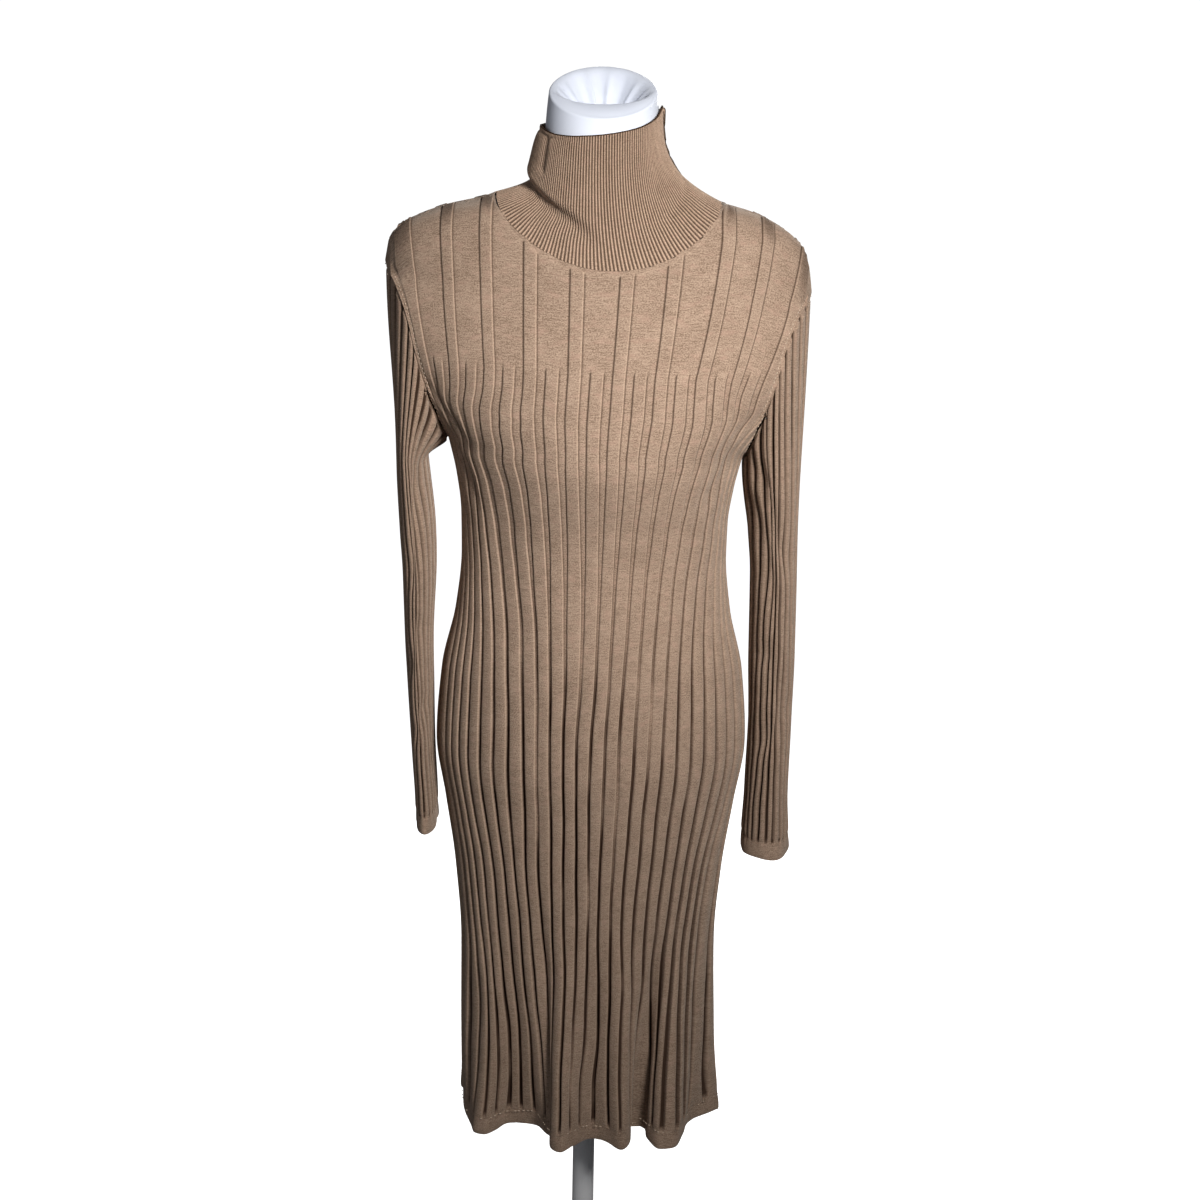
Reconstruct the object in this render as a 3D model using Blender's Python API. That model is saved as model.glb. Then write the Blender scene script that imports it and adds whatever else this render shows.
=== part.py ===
"""Ribbed roll-neck sweater dress on a limbless dress form.

Metres, +Z up. The front faces -Y, the wearer's right side is at -X. The origin is the middle of
the underside of the stand's base, on the floor.

The dress is knitted cloth, one wall thick, worn out to its full shape over the form. Its front and
back panels are surfaces over (rib, height): ribs are counted across a panel from its centre line,
13.5 to each side seam, and run from the hem up to the armhole, the shoulder or the neckline. The
sleeves start from the panels' own armhole points, and the collar from their neckline points.
"""
import math

import bpy
import numpy as np

# ---- driving sizes -------------------------------------------------------------------------
WALL = 0.002               # thickness of the knitted cloth
SEAM = 0.0003              # gap between two pieces that are sewn together
ARMHOLE_CLEARANCE = 0.0026  # room for the two walls' inner edges where a sleeve turns down
HALF_RIBS = 13.5           # ribs from a panel's centre line to its side seam
HEM = 0.395                # height of the hem above the floor
HEM_BAND = 0.019           # plain band that finishes the hem
CUFF_BAND = 0.018          # plain band that finishes a sleeve
FORK = 1.235               # up to here ribs run into the armhole's lower curve
ARMHOLE_RIB = 9.5          # the rib line that the upper armhole follows
NECK_RIB = 5.2             # the rib line where neckline and shoulder seam meet
SHOULDER_NECK = 1.4375     # height of that point
SHOULDER_TIP = 1.357       # height of the shoulder seam's outer end, the armhole's top
NECKLINE_DROP = {"front": 0.0655, "back": 0.016}
LEAN = 0.013               # the wearer's right armhole is this much higher than a level one
LEAN_LOW = 1.02            # the lean sets in above this height
LEAN_FULL = 1.15
LEAN_FADE = 1.345          # and dies out again from here up to the neck
LEAN_END = 1.455
FLUTE_TOP = 0.68           # the hem's flutes have died out by this height
FLUTE_FADE = 1.7           # how fast they die out
FLUTE_SAG = 0.12           # how much lower a flute's nose hangs, per metre that it stands out

UNDERARM_TURN = 0.022      # height over which a sleeve's underside turns from the armhole to hang
COLLAR_TOP_X = 0.0650      # half width of the standing collar, at its top
COLLAR_TOP_Y = 0.0670      # half depth of the same
COLLAR_LEAN = 2.4          # how soon the collar closes in on the neck
COLLAR_EDGE = 0.0008       # rows at the free edge where nothing is turned down
FOLD_RADIUS = 0.0032       # half the space that the turned-down collar takes, layer to layer
FOLD_GROWTH = 0.010        # a fold at least this long is fully turned over
FOLD_SPLAY = 0.24          # how far its free edge stands off, over its length

FORM_GAP = 0.0028          # cloth's inside to the form, but for the shoulders, which carry it
FORM_ARM_X = 0.190         # the form ends here, in a rounded arm stump
FORM_BOTTOM = 0.790
FORM_NECK_SEAM = 1.470     # top of the torso, under the neck cover
NECK_RADIUS = 0.0595
NECK_FOOT = 0.001          # how much wider the neck is at its foot
NECK_FOOT_TOP = 1.492      # up to here
NECK_TOP = 1.5465          # middle of the neck's rim
NECK_TILT = 0.318          # the rim rises towards the back, metres per metre
NECK_RIM = 0.006           # radius of the rolled rim
NECK_POCKET_DEPTH = 0.045  # of the hollow inside the rim, where the cover is tucked in

POLE_RADIUS = 0.0125
FLANGE_RADIUS = 0.045
FLANGE_THICKNESS = 0.006
BASE_RADIUS = 0.170
BASE_THICKNESS = 0.014
BASE_BEVEL = 0.003
BASE_RISE = 0.002          # how much higher its top is at the hub than at its edge
HUB_RADIUS = 0.024
HUB_HEIGHT = 0.050

# ---- tables --------------------------------------------------------------------------------
# The dress by height. edge_x: the panel's edge; front, back: depths on the centre line;
# front_edge, back_edge: how far the edge lies from the middle plane (0 where the panels meet);
# edge_rib: the rib at the edge; spread: rib width on the centre line over the mean.
BODY_COLUMNS = "height edge_x front back front_edge back_edge edge_rib spread"
BODY_ROWS = (
    (0.395, 0.1470, 0.094, 0.090, 0.000, 0.000, 13.50, 1.00),
    (0.500, 0.1445, 0.090, 0.086, 0.000, 0.000, 13.50, 1.00),
    (0.610, 0.1430, 0.088, 0.085, 0.000, 0.000, 13.50, 1.00),
    (0.700, 0.1490, 0.092, 0.096, 0.000, 0.000, 13.50, 0.98),
    (0.780, 0.1600, 0.100, 0.111, 0.000, 0.000, 13.50, 0.95),
    (0.850, 0.1700, 0.107, 0.118, 0.000, 0.000, 13.50, 0.93),
    (0.930, 0.1640, 0.107, 0.111, 0.000, 0.000, 13.50, 0.97),
    (1.000, 0.1485, 0.103, 0.093, 0.000, 0.000, 13.50, 1.09),
    (1.060, 0.1425, 0.100, 0.080, 0.000, 0.000, 13.50, 1.22),
    (1.100, 0.1430, 0.105, 0.080, 0.000, 0.000, 13.50, 1.29),
    (1.140, 0.1480, 0.117, 0.087, 0.000, 0.000, 13.50, 1.33),
    (1.175, 0.1560, 0.125, 0.095, 0.000, 0.000, 13.50, 1.34),
    (1.188, 0.1595, 0.125, 0.098, 0.028, 0.030, 12.20, 1.33),
    (1.205, 0.1645, 0.124, 0.102, 0.046, 0.047, 10.90, 1.31),
    (1.235, 0.1740, 0.118, 0.106, 0.060, 0.064, 9.50, 1.24),
    (1.270, 0.1850, 0.109, 0.108, 0.065, 0.071, 9.50, 1.18),
    (1.310, 0.1960, 0.097, 0.107, 0.058, 0.066, 9.50, 1.12),
    (1.335, 0.2070, 0.0895, 0.104, 0.043, 0.050, 9.50, 1.07),
    (1.357, 0.2225, 0.083, 0.100, 0.000, 0.000, 9.50, 1.04),
    (1.378, 0.2200, 0.077, 0.095, 0.000, 0.000, 9.05, 1.03),
    (1.394, 0.2140, 0.072, 0.090, 0.000, 0.000, 8.70, 1.02),
    (1.4100, 0.1960, 0.067, 0.085, 0.000, 0.000, 8.10, 1.01),
    (1.4260, 0.1610, 0.063, 0.079, 0.000, 0.000, 6.80, 1.00),
    (1.4375, 0.1180, 0.060, 0.072, 0.000, 0.000, 5.20, 1.00),
    (1.4550, 0.0840, 0.059, 0.066, 0.000, 0.000, 3.80, 1.00),
)
# The armhole's lower curve: how high each rib between the fork and the side seam runs.
ARMHOLE_COLUMNS = "rib height"
ARMHOLE_ROWS = ((9.5, 1.235), (10.5, 1.213), (11.5, 1.197), (12.5, 1.185), (13.5, 1.175))
# The hem's outline in plan as (x, y), from the wearer's right side seam to the left one: its flutes.
FRONT_HEM = (
    (-0.141, 0.006), (-0.139, -0.028), (-0.128, -0.066), (-0.112, -0.073), (-0.098, -0.065),
    (-0.084, -0.055), (-0.064, -0.055), (-0.052, -0.060), (-0.046, -0.076), (-0.038, -0.096),
    (-0.025, -0.106), (-0.010, -0.095), (0.008, -0.084), (0.024, -0.088), (0.042, -0.099),
    (0.052, -0.086), (0.060, -0.065), (0.070, -0.078), (0.085, -0.097), (0.101, -0.092),
    (0.112, -0.068), (0.122, -0.044), (0.138, -0.022), (0.152, -0.004),
)
BACK_HEM = (
    (-0.141, 0.006), (-0.139, 0.022), (-0.147, 0.042), (-0.133, 0.066), (-0.111, 0.082),
    (-0.092, 0.070), (-0.072, 0.064), (-0.053, 0.082), (-0.034, 0.103), (-0.014, 0.096),
    (0.004, 0.078), (0.024, 0.080), (0.041, 0.099), (0.061, 0.100), (0.076, 0.078),
    (0.092, 0.062), (0.110, 0.074), (0.128, 0.074), (0.140, 0.052), (0.146, 0.026),
    (0.152, -0.004),
)
# The hanging, empty sleeves by height: centre, half thickness and half depth of the flat tube.
SLEEVE_COLUMNS = "height centre thick deep"
SLEEVES = {
    "left": {
        "side": 1, "cuff": 0.720, "join": 1.085,
        "rows": (
            (0.690, 0.1980, 0.0285, 0.037), (0.740, 0.1965, 0.0265, 0.039),
            (0.790, 0.1960, 0.0240, 0.042), (0.870, 0.1970, 0.0235, 0.045),
            (0.950, 0.1960, 0.0250, 0.048), (1.040, 0.1945, 0.0250, 0.053),
            (1.087, 0.1920, 0.0265, 0.057), (1.140, 0.1895, 0.0285, 0.062),
        ),
    },
    "right": {
        "side": -1, "cuff": 0.746, "join": 1.160,
        "rows": (
            (0.700, 0.1835, 0.0115, 0.046), (0.735, 0.1840, 0.0115, 0.046),
            (0.780, 0.1850, 0.0115, 0.048), (0.830, 0.1875, 0.0120, 0.050),
            (0.900, 0.1895, 0.0135, 0.053), (0.970, 0.1905, 0.0150, 0.056),
            (1.036, 0.1890, 0.0175, 0.060), (1.085, 0.1900, 0.0185, 0.064),
            (1.140, 0.1940, 0.0170, 0.066), (1.170, 0.1960, 0.0155, 0.066),
        ),
    },
}
# The collar by turn, in degrees from the front towards the wearer's left. crest: height of its
# top; fold: how much cloth is turned down outside there.
COLLAR_COLUMNS = "turn crest fold"
COLLAR_ROWS = (
    (-180.0, 1.504, 0.042), (-130.0, 1.503, 0.038), (-105.0, 1.502, 0.031), (-85.0, 1.501, 0.022),
    (-68.0, 1.499, 0.010), (-55.0, 1.498, 0.000), (-30.0, 1.4985, 0.000), (0.0, 1.501, 0.000),
    (35.0, 1.507, 0.000), (65.0, 1.516, 0.000), (82.0, 1.521, 0.008), (105.0, 1.519, 0.024),
    (130.0, 1.512, 0.036), (180.0, 1.504, 0.042),
)
# The form's torso as (height, across, front, back, core), the arguments of ring(): its bottom
# edge, and its shoulders where they turn into the neck.
TORSO_LOW_ROWS = (
    (0.790, 0.130, 0.070, 0.082, 0.0), (0.794, 0.139, 0.079, 0.091, 0.0),
    (0.804, 0.148, 0.087, 0.099, 0.0),
)
TORSO_TOP_ROWS = (
    (1.3544, 0.190, 0.076, 0.092, 0.050), (1.3754, 0.190, 0.068, 0.085, 0.054),
    (1.3930, 0.190, 0.062, 0.077, 0.056), (1.4085, 0.186, 0.054, 0.068, 0.057),
    (1.4215, 0.1570, 0.045, 0.057, 0.058), (1.4330, 0.111, 0.039, 0.046, 0.0585),
    (1.4430, 0.082, 0.038, 0.040, 0.0590), (1.4530, 0.064, 0.036, 0.036, 0.0595),
    (1.4700, 0.050, 0.040, 0.040, 0.0605),
)

# The hollow in the neck's top as (radius, depth over its full depth, tilt over the rim's).
NECK_POCKET_ROWS = ((0.0440, 0.40, 0.8), (0.0340, 0.80, 0.4), (0.0270, 1.00, 0.3))

# ---- rows and columns of the faceted surfaces -----------------------------------------------
SKIRT_HEIGHTS = (0.475, 0.56, 0.65, 0.735, 0.81, 0.88, 0.95, 1.01, 1.06, 1.11)
FORK_ROWS = 3              # rows from there up to the armhole's lower curve
YOKE_ROWS = 6              # rows from there up to the shoulder or the neckline
ROW_CROWDING = 1.5         # how much closer together these are towards the shoulder
SIDE_RIBS = 4              # columns between the armhole's rib line and the side seam
SHOULDER_RIBS = 5          # columns between the neckline's corner and the armhole's rib line
NECK_RIBS = 8              # columns from there to the centre line
SLEEVE_ROWS = 12
COLLAR_STAND_ROWS = 5
COLLAR_BEND_ROWS = 3
COLLAR_FOLD_ROWS = 6
TORSO_SIDES = 40
TORSO_HEIGHTS = (0.825, 0.86, 0.90, 0.94, 0.98, 1.02, 1.06, 1.10, 1.135, 1.165, 1.20, 1.24, 1.28, 1.32)
CORE_BLEND = 12            # how sharply a ring turns from its own outline to its core's
NECK_RIM_STEPS = 6
BASE_SIDES = 56
POLE_SIDES = 28

COLOURS = {
    "knit": ((0.27, 0.18, 0.11), 0.9, 0.0),
    "rib": ((0.24, 0.16, 0.10), 0.9, 0.0),
    "cover": ((0.80, 0.81, 0.86), 0.6, 0.0),
    "stand": ((0.78, 0.78, 0.79), 0.35, 0.0),
}

# ---- curves --------------------------------------------------------------------------------


def smooth_curve(keys, values):
    """A smooth function through the given points that never overshoots between them."""
    keys = np.asarray(keys, float)
    values = np.asarray(values, float)
    step = np.diff(keys)
    slope = np.diff(values) / step
    tangent = np.empty_like(values)
    tangent[0] = slope[0]
    tangent[-1] = slope[-1]
    same_way = slope[:-1] * slope[1:] > 0
    safe = np.where(same_way, slope[:-1] + slope[1:], 1.0)
    tangent[1:-1] = np.where(same_way, 2 * slope[:-1] * slope[1:] / safe, 0.0)

    def read(key):
        key = np.clip(np.asarray(key, float), keys[0], keys[-1])
        i = np.clip(np.searchsorted(keys, key, side="right") - 1, 0, len(step) - 1)
        t = (key - keys[i]) / step[i]
        low = values[i] * (1 + 2 * t) * (1 - t) ** 2 + values[i + 1] * t * t * (3 - 2 * t)
        return low + step[i] * t * (1 - t) * (tangent[i] * (1 - t) - tangent[i + 1] * t)

    return read


def read_table(columns, rows):
    """Each named column as a smooth function of the first one."""
    names = columns.split()
    keys = [row[0] for row in rows]
    return {name: smooth_curve(keys, [row[i] for row in rows]) for i, name in enumerate(names)}


def ease(t):
    """0 to 1 with level ends."""
    t = np.clip(t, 0.0, 1.0)
    return t * t * (3 - 2 * t)


GAUSS_NODES, GAUSS_WEIGHTS = np.polynomial.legendre.leggauss(8)


def ellipse_arc(angle, across, deep):
    """Length along an ellipse from the middle of its front to the given angle."""
    t = 0.5 * angle[..., None] * (GAUSS_NODES + 1)
    speed = np.hypot(across[..., None] * np.cos(t), deep[..., None] * np.sin(t))
    return 0.5 * angle * (speed @ GAUSS_WEIGHTS)


def angle_at_arc(arc, across, deep):
    """The angle at which ellipse_arc reaches the given length."""
    quarter = ellipse_arc(np.full_like(arc, math.pi / 2), across, deep)
    angle = math.pi / 2 * np.clip(arc / quarter, 0.0, 1.0)
    for _ in range(6):
        speed = np.hypot(across * np.cos(angle), deep * np.sin(angle))
        angle = np.clip(angle - (ellipse_arc(angle, across, deep) - arc) / speed, 0.0, math.pi / 2)
    return angle


# ---- the dress's front and back -------------------------------------------------------------
BODY = read_table(BODY_COLUMNS, BODY_ROWS)
ARMHOLE = read_table(ARMHOLE_COLUMNS, ARMHOLE_ROWS)


def plan_by_rib(outline):
    """A hem outline as x(rib) and y(rib), its ribs evenly spaced along it."""
    points = np.array(outline)
    lengths = np.concatenate(([0.0], np.cumsum(np.hypot(*np.diff(points, axis=0).T))))
    ribs = (2 * lengths / lengths[-1] - 1) * HALF_RIBS
    return smooth_curve(ribs, points[:, 0]), smooth_curve(ribs, points[:, 1])


FACING = {"front": -1, "back": 1}
HEM_PLAN = {"front": plan_by_rib(FRONT_HEM), "back": plan_by_rib(BACK_HEM)}


def lean(x, height):
    """How much lower a point lies because the wearer's left shoulder hangs lower than the right."""
    window = ease((height - LEAN_LOW) / (LEAN_FULL - LEAN_LOW))
    window = window * ease((LEAN_END - height) / (LEAN_END - LEAN_FADE))
    tip = float(BODY["edge_x"](SHOULDER_TIP))
    return LEAN * np.sign(x) * np.abs(x / tip) ** 1.5 * window


def panel_point(panel, rib, height):
    """A point of the dress's outer surface, by panel, rib number and height."""
    rib, height = np.broadcast_arrays(np.asarray(rib, float), np.asarray(height, float))
    deep = BODY[panel](height)
    edge_x = BODY["edge_x"](height)
    edge_y = BODY[panel + "_edge"](height)
    across = edge_x / np.sqrt(1 - (edge_y / deep) ** 2)
    edge_arc = ellipse_arc(np.arcsin(np.clip(edge_x / across, 0, 1)), across, deep)
    spread = BODY["spread"](height)
    edge = BODY["edge_rib"](height) / HALF_RIBS
    part = np.abs(rib) / HALF_RIBS
    share = (spread * part + (1 - spread) * part ** 2) / (spread * edge + (1 - spread) * edge ** 2)
    angle = angle_at_arc(edge_arc * share, across, deep)
    facing = FACING[panel]
    x = np.sign(rib) * across * np.sin(angle)
    y = facing * deep * np.cos(angle)

    hem_x, hem_y = (read(rib) for read in HEM_PLAN[panel])
    flute = np.clip((FLUTE_TOP - height) / (FLUTE_TOP - HEM), 0.0, 1.0) ** FLUTE_FADE
    stands_out = np.hypot(hem_x, hem_y) - np.hypot(x, y)
    fall = FLUTE_SAG * stands_out * flute + lean(x, height)
    return np.stack((x + (hem_x - x) * flute, y + (hem_y - y) * flute, height - fall), axis=-1)


def neckline_height(panel, rib):
    """Height of the neckline seam on a rib inside the neck."""
    part = np.clip(abs(rib) / NECK_RIB, 0.0, 1.0)
    return SHOULDER_NECK - NECKLINE_DROP[panel] * (1 - part ** 2) ** 0.75


def rib_top(panel, rib):
    """Where a rib above the fork ends, at the neckline or on the shoulder."""
    if abs(rib) <= NECK_RIB:
        return float(neckline_height(panel, rib))
    heights = np.linspace(SHOULDER_NECK, SHOULDER_TIP, 2000)
    return float(np.interp(abs(rib), BODY["edge_rib"](heights), heights))


def rows_up_rib(panel, rib, low, high, count):
    """Points up a rib between two heights, closer together towards the upper one."""
    t = np.linspace(0.0, 1.0, 240)
    heights = low + (high - low) * (1 - (1 - t) ** 2)
    path = panel_point(panel, rib, heights)
    length = np.concatenate(([0.0], np.cumsum(np.linalg.norm(np.diff(path, axis=0), axis=1))))
    even = np.linspace(0.0, 1.0, count + 1)
    wanted = length[-1] * (1 - (1 - even) ** ROW_CROWDING)
    points = np.stack([np.interp(wanted, length, path[:, k]) for k in range(3)], axis=-1)
    if abs(rib) >= NECK_RIB:
        points[-1, 1] = 0.0
    return points


def half_rib_columns():
    """Rib numbers of the grid's columns, from the centre line to a side seam."""
    neck = NECK_RIB * np.sin(np.linspace(0.0, math.pi / 2, NECK_RIBS + 1))
    shoulder = np.linspace(NECK_RIB, ARMHOLE_RIB, SHOULDER_RIBS + 1)[1:]
    side = np.linspace(ARMHOLE_RIB, HALF_RIBS, SIDE_RIBS + 1)[1:]
    return np.concatenate((neck, shoulder, side))


def body_grid(panel):
    """The panel's points by column and row, and which of them exist."""
    half = half_rib_columns()
    ribs = np.concatenate((-half[:0:-1], half))
    low_heights = np.array((HEM, HEM + HEM_BAND) + SKIRT_HEIGHTS)
    rows = len(low_heights) + FORK_ROWS + YOKE_ROWS
    points = np.zeros((len(ribs), rows, 3))
    exists = np.ones((len(ribs), rows), bool)
    for i, rib in enumerate(ribs):
        in_side = abs(rib) > ARMHOLE_RIB + 1e-6
        fork = float(ARMHOLE["height"](abs(rib))) if in_side else FORK
        fork_heights = np.linspace(low_heights[-1], fork, FORK_ROWS + 1)[1:]
        heights = np.concatenate((low_heights, fork_heights))
        points[i, :len(heights)] = panel_point(panel, rib, heights)
        if in_side:
            exists[i, len(heights):] = False
        else:
            points[i, len(heights):] = rows_up_rib(panel, rib, fork, rib_top(panel, rib), YOKE_ROWS)[1:]
    return points, exists


# ---- meshes --------------------------------------------------------------------------------


def grid_cells(exists, closed=False):
    """Corner numbers of a grid's cells, over the points that exist."""
    columns, rows = exists.shape
    cells = []
    for i in range(columns if closed else columns - 1):
        k = (i + 1) % columns
        for j in range(rows - 1):
            if exists[i, j] and exists[k, j] and exists[i, j + 1] and exists[k, j + 1]:
                cells.append((i * rows + j, k * rows + j, k * rows + j + 1, i * rows + j + 1))
    return cells


def add_normals(points, cells, total):
    """Sum the cells' normals on their corners, keyed by place, so that seams share them."""
    for cell in cells:
        a, b, c, d = (points[k] for k in cell)
        normal = np.cross(c - a, d - b)
        for k in cell:
            key = tuple(np.round(points[k], 5))
            total[key] = total.get(key, 0) + normal


def vertex_normals(points, total):
    """Unit normals of the points that have any."""
    normals = np.zeros_like(points)
    for k, point in enumerate(points):
        normal = total.get(tuple(np.round(point, 5)))
        if normal is not None:
            normals[k] = normal / np.linalg.norm(normal)
    return normals


def wall_mesh(outer, inner, cells):
    """A closed wall between two layers of points, over the given cells."""
    used = sorted({k for cell in cells for k in cell})
    number = {k: i for i, k in enumerate(used)}
    count = len(used)
    faces = [tuple(number[k] for k in cell) for cell in cells]
    edges = {}
    for face in faces:
        for a, b in zip(face, face[1:] + face[:1]):
            edges[(a, b)] = True
    rim = [(a, b) for a, b in edges if (b, a) not in edges]
    inside = [tuple(k + count for k in reversed(face)) for face in faces]
    strips = [(b, a, a + count, b + count) for a, b in rim]
    points = [tuple(outer[k]) for k in used] + [tuple(inner[k]) for k in used]
    return points, faces + inside + strips


def material(slot):
    """The slot's material, made once."""
    found = bpy.data.materials.get(slot)
    if found:
        return found
    colour, roughness, metallic = COLOURS[slot]
    made = bpy.data.materials.new(slot)
    made.use_nodes = True
    shader = made.node_tree.nodes["Principled BSDF"]
    shader.inputs["Base Color"].default_value = (*colour, 1.0)
    shader.inputs["Roughness"].default_value = roughness
    shader.inputs["Metallic"].default_value = metallic
    return made


def add_object(name, points, faces, slot):
    """One named solid in the scene."""
    mesh = bpy.data.meshes.new(name)
    mesh.from_pydata(points, [], faces)
    mesh.validate()
    mesh.shade_smooth()
    mesh.set_sharp_from_angle(angle=math.radians(40))
    mesh.materials.append(material(slot))
    made = bpy.data.objects.new(name, mesh)
    bpy.context.collection.objects.link(made)
    return made


def pull_back(layers, edge, inward, distance):
    """Move an edge's points towards their neighbours inside the piece, to open a seam."""
    for points in layers:
        way = points[inward] - points[edge]
        points[edge] = points[edge] + way / np.linalg.norm(way, axis=-1, keepdims=True) * distance


# ---- the pieces ----------------------------------------------------------------------------
FORK_ROW = 2 + len(SKIRT_HEIGHTS) + FORK_ROWS - 1     # row of the armhole's lower curve
NECK_COLUMN = NECK_RIBS                               # columns from the centre line
ARM_COLUMN = NECK_RIBS + SHOULDER_RIBS


def make_panels():
    """Front and back with their hem bands; returns the outer grids and their normals."""
    grids = {panel: body_grid(panel) for panel in ("front", "back")}
    cells = {}
    total = {}
    for panel, (points, exists) in grids.items():
        corners = grid_cells(exists)
        if panel == "back":
            corners = [cell[::-1] for cell in corners]
        cells[panel] = corners
        add_normals(points.reshape(-1, 3), corners, total)
    shells = {}
    for panel, (points, exists) in grids.items():
        normals = vertex_normals(points.reshape(-1, 3), total).reshape(points.shape)
        shells[panel] = (points, normals)
        outer = points.copy()
        inner = points - normals * WALL
        layers = (outer, inner)
        middle = ARM_COLUMN + SIDE_RIBS
        last = points.shape[0] - 1
        side_rows = slice(0, FORK_ROW + 1)
        pull_back(layers, (0, side_rows), (1, side_rows), SEAM / 2)
        pull_back(layers, (last, side_rows), (last - 1, side_rows), SEAM / 2)
        for run in (slice(middle - ARM_COLUMN, middle - NECK_COLUMN + 1),
                    slice(middle + NECK_COLUMN, middle + ARM_COLUMN + 1)):
            for layer in layers:
                layer[run, -1, 1] += FACING[panel] * SEAM / 2
        rows = points.shape[1]
        band = [cell for cell in cells[panel] if min(k % rows for k in cell) == 0]
        rest = [cell for cell in cells[panel] if min(k % rows for k in cell) > 0]
        add_object("hem_" + panel, *wall_mesh(outer.reshape(-1, 3), inner.reshape(-1, 3), band), "knit")
        pull_back(layers, (slice(None), 1), (slice(None), 2), SEAM)
        add_object("panel_" + panel, *wall_mesh(outer.reshape(-1, 3), inner.reshape(-1, 3), rest), "knit")
    return shells


def armhole_loop(shells, side):
    """Points round an armhole, from the shoulder's tip down the front and up the back, moved off
    the panels by the seam's gap, and how much of the panels' edge hangs below each."""
    middle = ARM_COLUMN + SIDE_RIBS
    columns = [middle + side * k for k in range(ARM_COLUMN, ARM_COLUMN + SIDE_RIBS + 1)]
    rows = shells["front"][0].shape[1]
    upper = [(columns[0], j) for j in range(rows - 1, FORK_ROW, -1)]
    lower = [(i, FORK_ROW) for i in columns]
    front = upper + lower
    back = (upper + lower)[-2:0:-1]
    loop = []
    below = []
    for panel, places in (("front", front), ("back", back)):
        points, normals = shells[panel]
        for i, j in places:
            start = points[i, j]
            if j > FORK_ROW:
                away = start - points[i - side, j]
                start = start + away / np.linalg.norm(away) * (SEAM + ARMHOLE_CLEARANCE)
            loop.append(start)
            below.append(WALL * max(normals[i, j, 2], 0.0))
    return np.array(loop), np.array(below)


def sleeve_oval(table, side, height, turn):
    """A point of the hanging sleeve; turn 0 is its outer side, a quarter its front edge."""
    centre = table["centre"](height)
    x = side * (centre + table["thick"](height) * np.cos(turn))
    y = -table["deep"](height) * np.sin(turn)
    return x, y


def sleeve_grid(loop, below, sleeve):
    """The sleeve's points, from the cuff's edge up to the armhole."""
    table = read_table(SLEEVE_COLUMNS, sleeve["rows"])
    side = sleeve["side"]
    count = len(loop)
    turns = 2 * math.pi * np.arange(count) / count
    rows = SLEEVE_ROWS + 2
    points = np.zeros((count, rows, 3))
    for i, (start, turn) in enumerate(zip(loop, turns)):
        low = sleeve["cuff"]
        run = np.linspace(low + CUFF_BAND, start[2] - SEAM - below[i], SLEEVE_ROWS + 1)
        heights = np.concatenate(([low], run))
        x, y = sleeve_oval(table, side, heights, turn)
        pull = ease((start[2] - heights) / max(start[2] - sleeve["join"], UNDERARM_TURN))
        points[i, :, 0] = start[0] + (x - start[0]) * pull
        points[i, :, 1] = start[1] + (y - start[1]) * pull
        points[i, :, 2] = heights
    return points


def make_sleeve(name, sleeve, shells):
    """A sleeve and its cuff band."""
    loop, below = armhole_loop(shells, sleeve["side"])
    points = sleeve_grid(loop, below, sleeve)
    cells = grid_cells(np.ones(points.shape[:2], bool), closed=True)
    if sleeve["side"] > 0:
        cells = [cell[::-1] for cell in cells]
    total = {}
    add_normals(points.reshape(-1, 3), cells, total)
    normals = vertex_normals(points.reshape(-1, 3), total).reshape(points.shape)
    outer = points.copy()
    inner = points - normals * WALL
    rows = points.shape[1]
    band = [cell for cell in cells if min(k % rows for k in cell) == 0]
    rest = [cell for cell in cells if min(k % rows for k in cell) > 0]
    add_object("cuff_" + name, *wall_mesh(outer.reshape(-1, 3), inner.reshape(-1, 3), band), "knit")
    pull_back((outer, inner), (slice(None), 1), (slice(None), 2), SEAM)
    add_object("sleeve_" + name, *wall_mesh(outer.reshape(-1, 3), inner.reshape(-1, 3), rest), "rib")


def neckline_loop(shells):
    """Points round the neckline, from the front's middle towards the wearer's left."""
    middle = ARM_COLUMN + SIDE_RIBS
    front = shells["front"][0][:, -1]
    back = shells["back"][0][:, -1]
    loop = [front[middle + k] for k in range(0, NECK_COLUMN + 1)]
    loop += [back[middle + k] for k in range(NECK_COLUMN - 1, -NECK_COLUMN, -1)]
    loop += [front[middle + k] for k in range(-NECK_COLUMN, 0)]
    return np.array(loop)


def collar_path(start, turn, crest_height, fold):
    """Points up the standing collar and down its fold, at one turn round the neck."""
    top = np.array((COLLAR_TOP_X * math.sin(turn), -COLLAR_TOP_Y * math.cos(turn)))
    out = top / np.linalg.norm(top)
    folded = min(1.0, fold / FOLD_GROWTH)
    radius = FOLD_RADIUS * folded
    foot = start[2] + SEAM
    t = np.linspace(0.0, 1.0, COLLAR_STAND_ROWS + 1)
    closing = (1 - (1 - t) ** COLLAR_LEAN)[:, None]
    plan = start[:2] + (top - start[:2]) * closing
    points = list(np.column_stack((plan, foot + (crest_height - foot) * t)))
    crest = points[-1]
    for j in range(1, COLLAR_FOLD_ROWS + 1):
        bend = math.pi * min(j / COLLAR_BEND_ROWS, 1.0) * folded
        down = max(j - COLLAR_BEND_ROWS, 0) / (COLLAR_FOLD_ROWS - COLLAR_BEND_ROWS)
        reach = radius * (1 - math.cos(bend)) + FOLD_SPLAY * fold * down ** 1.5
        lift = radius * math.sin(bend) + COLLAR_EDGE * j * (1 - folded) - fold * down * folded
        points.append(crest + np.array((out[0] * reach, out[1] * reach, lift)))
    return points


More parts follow.
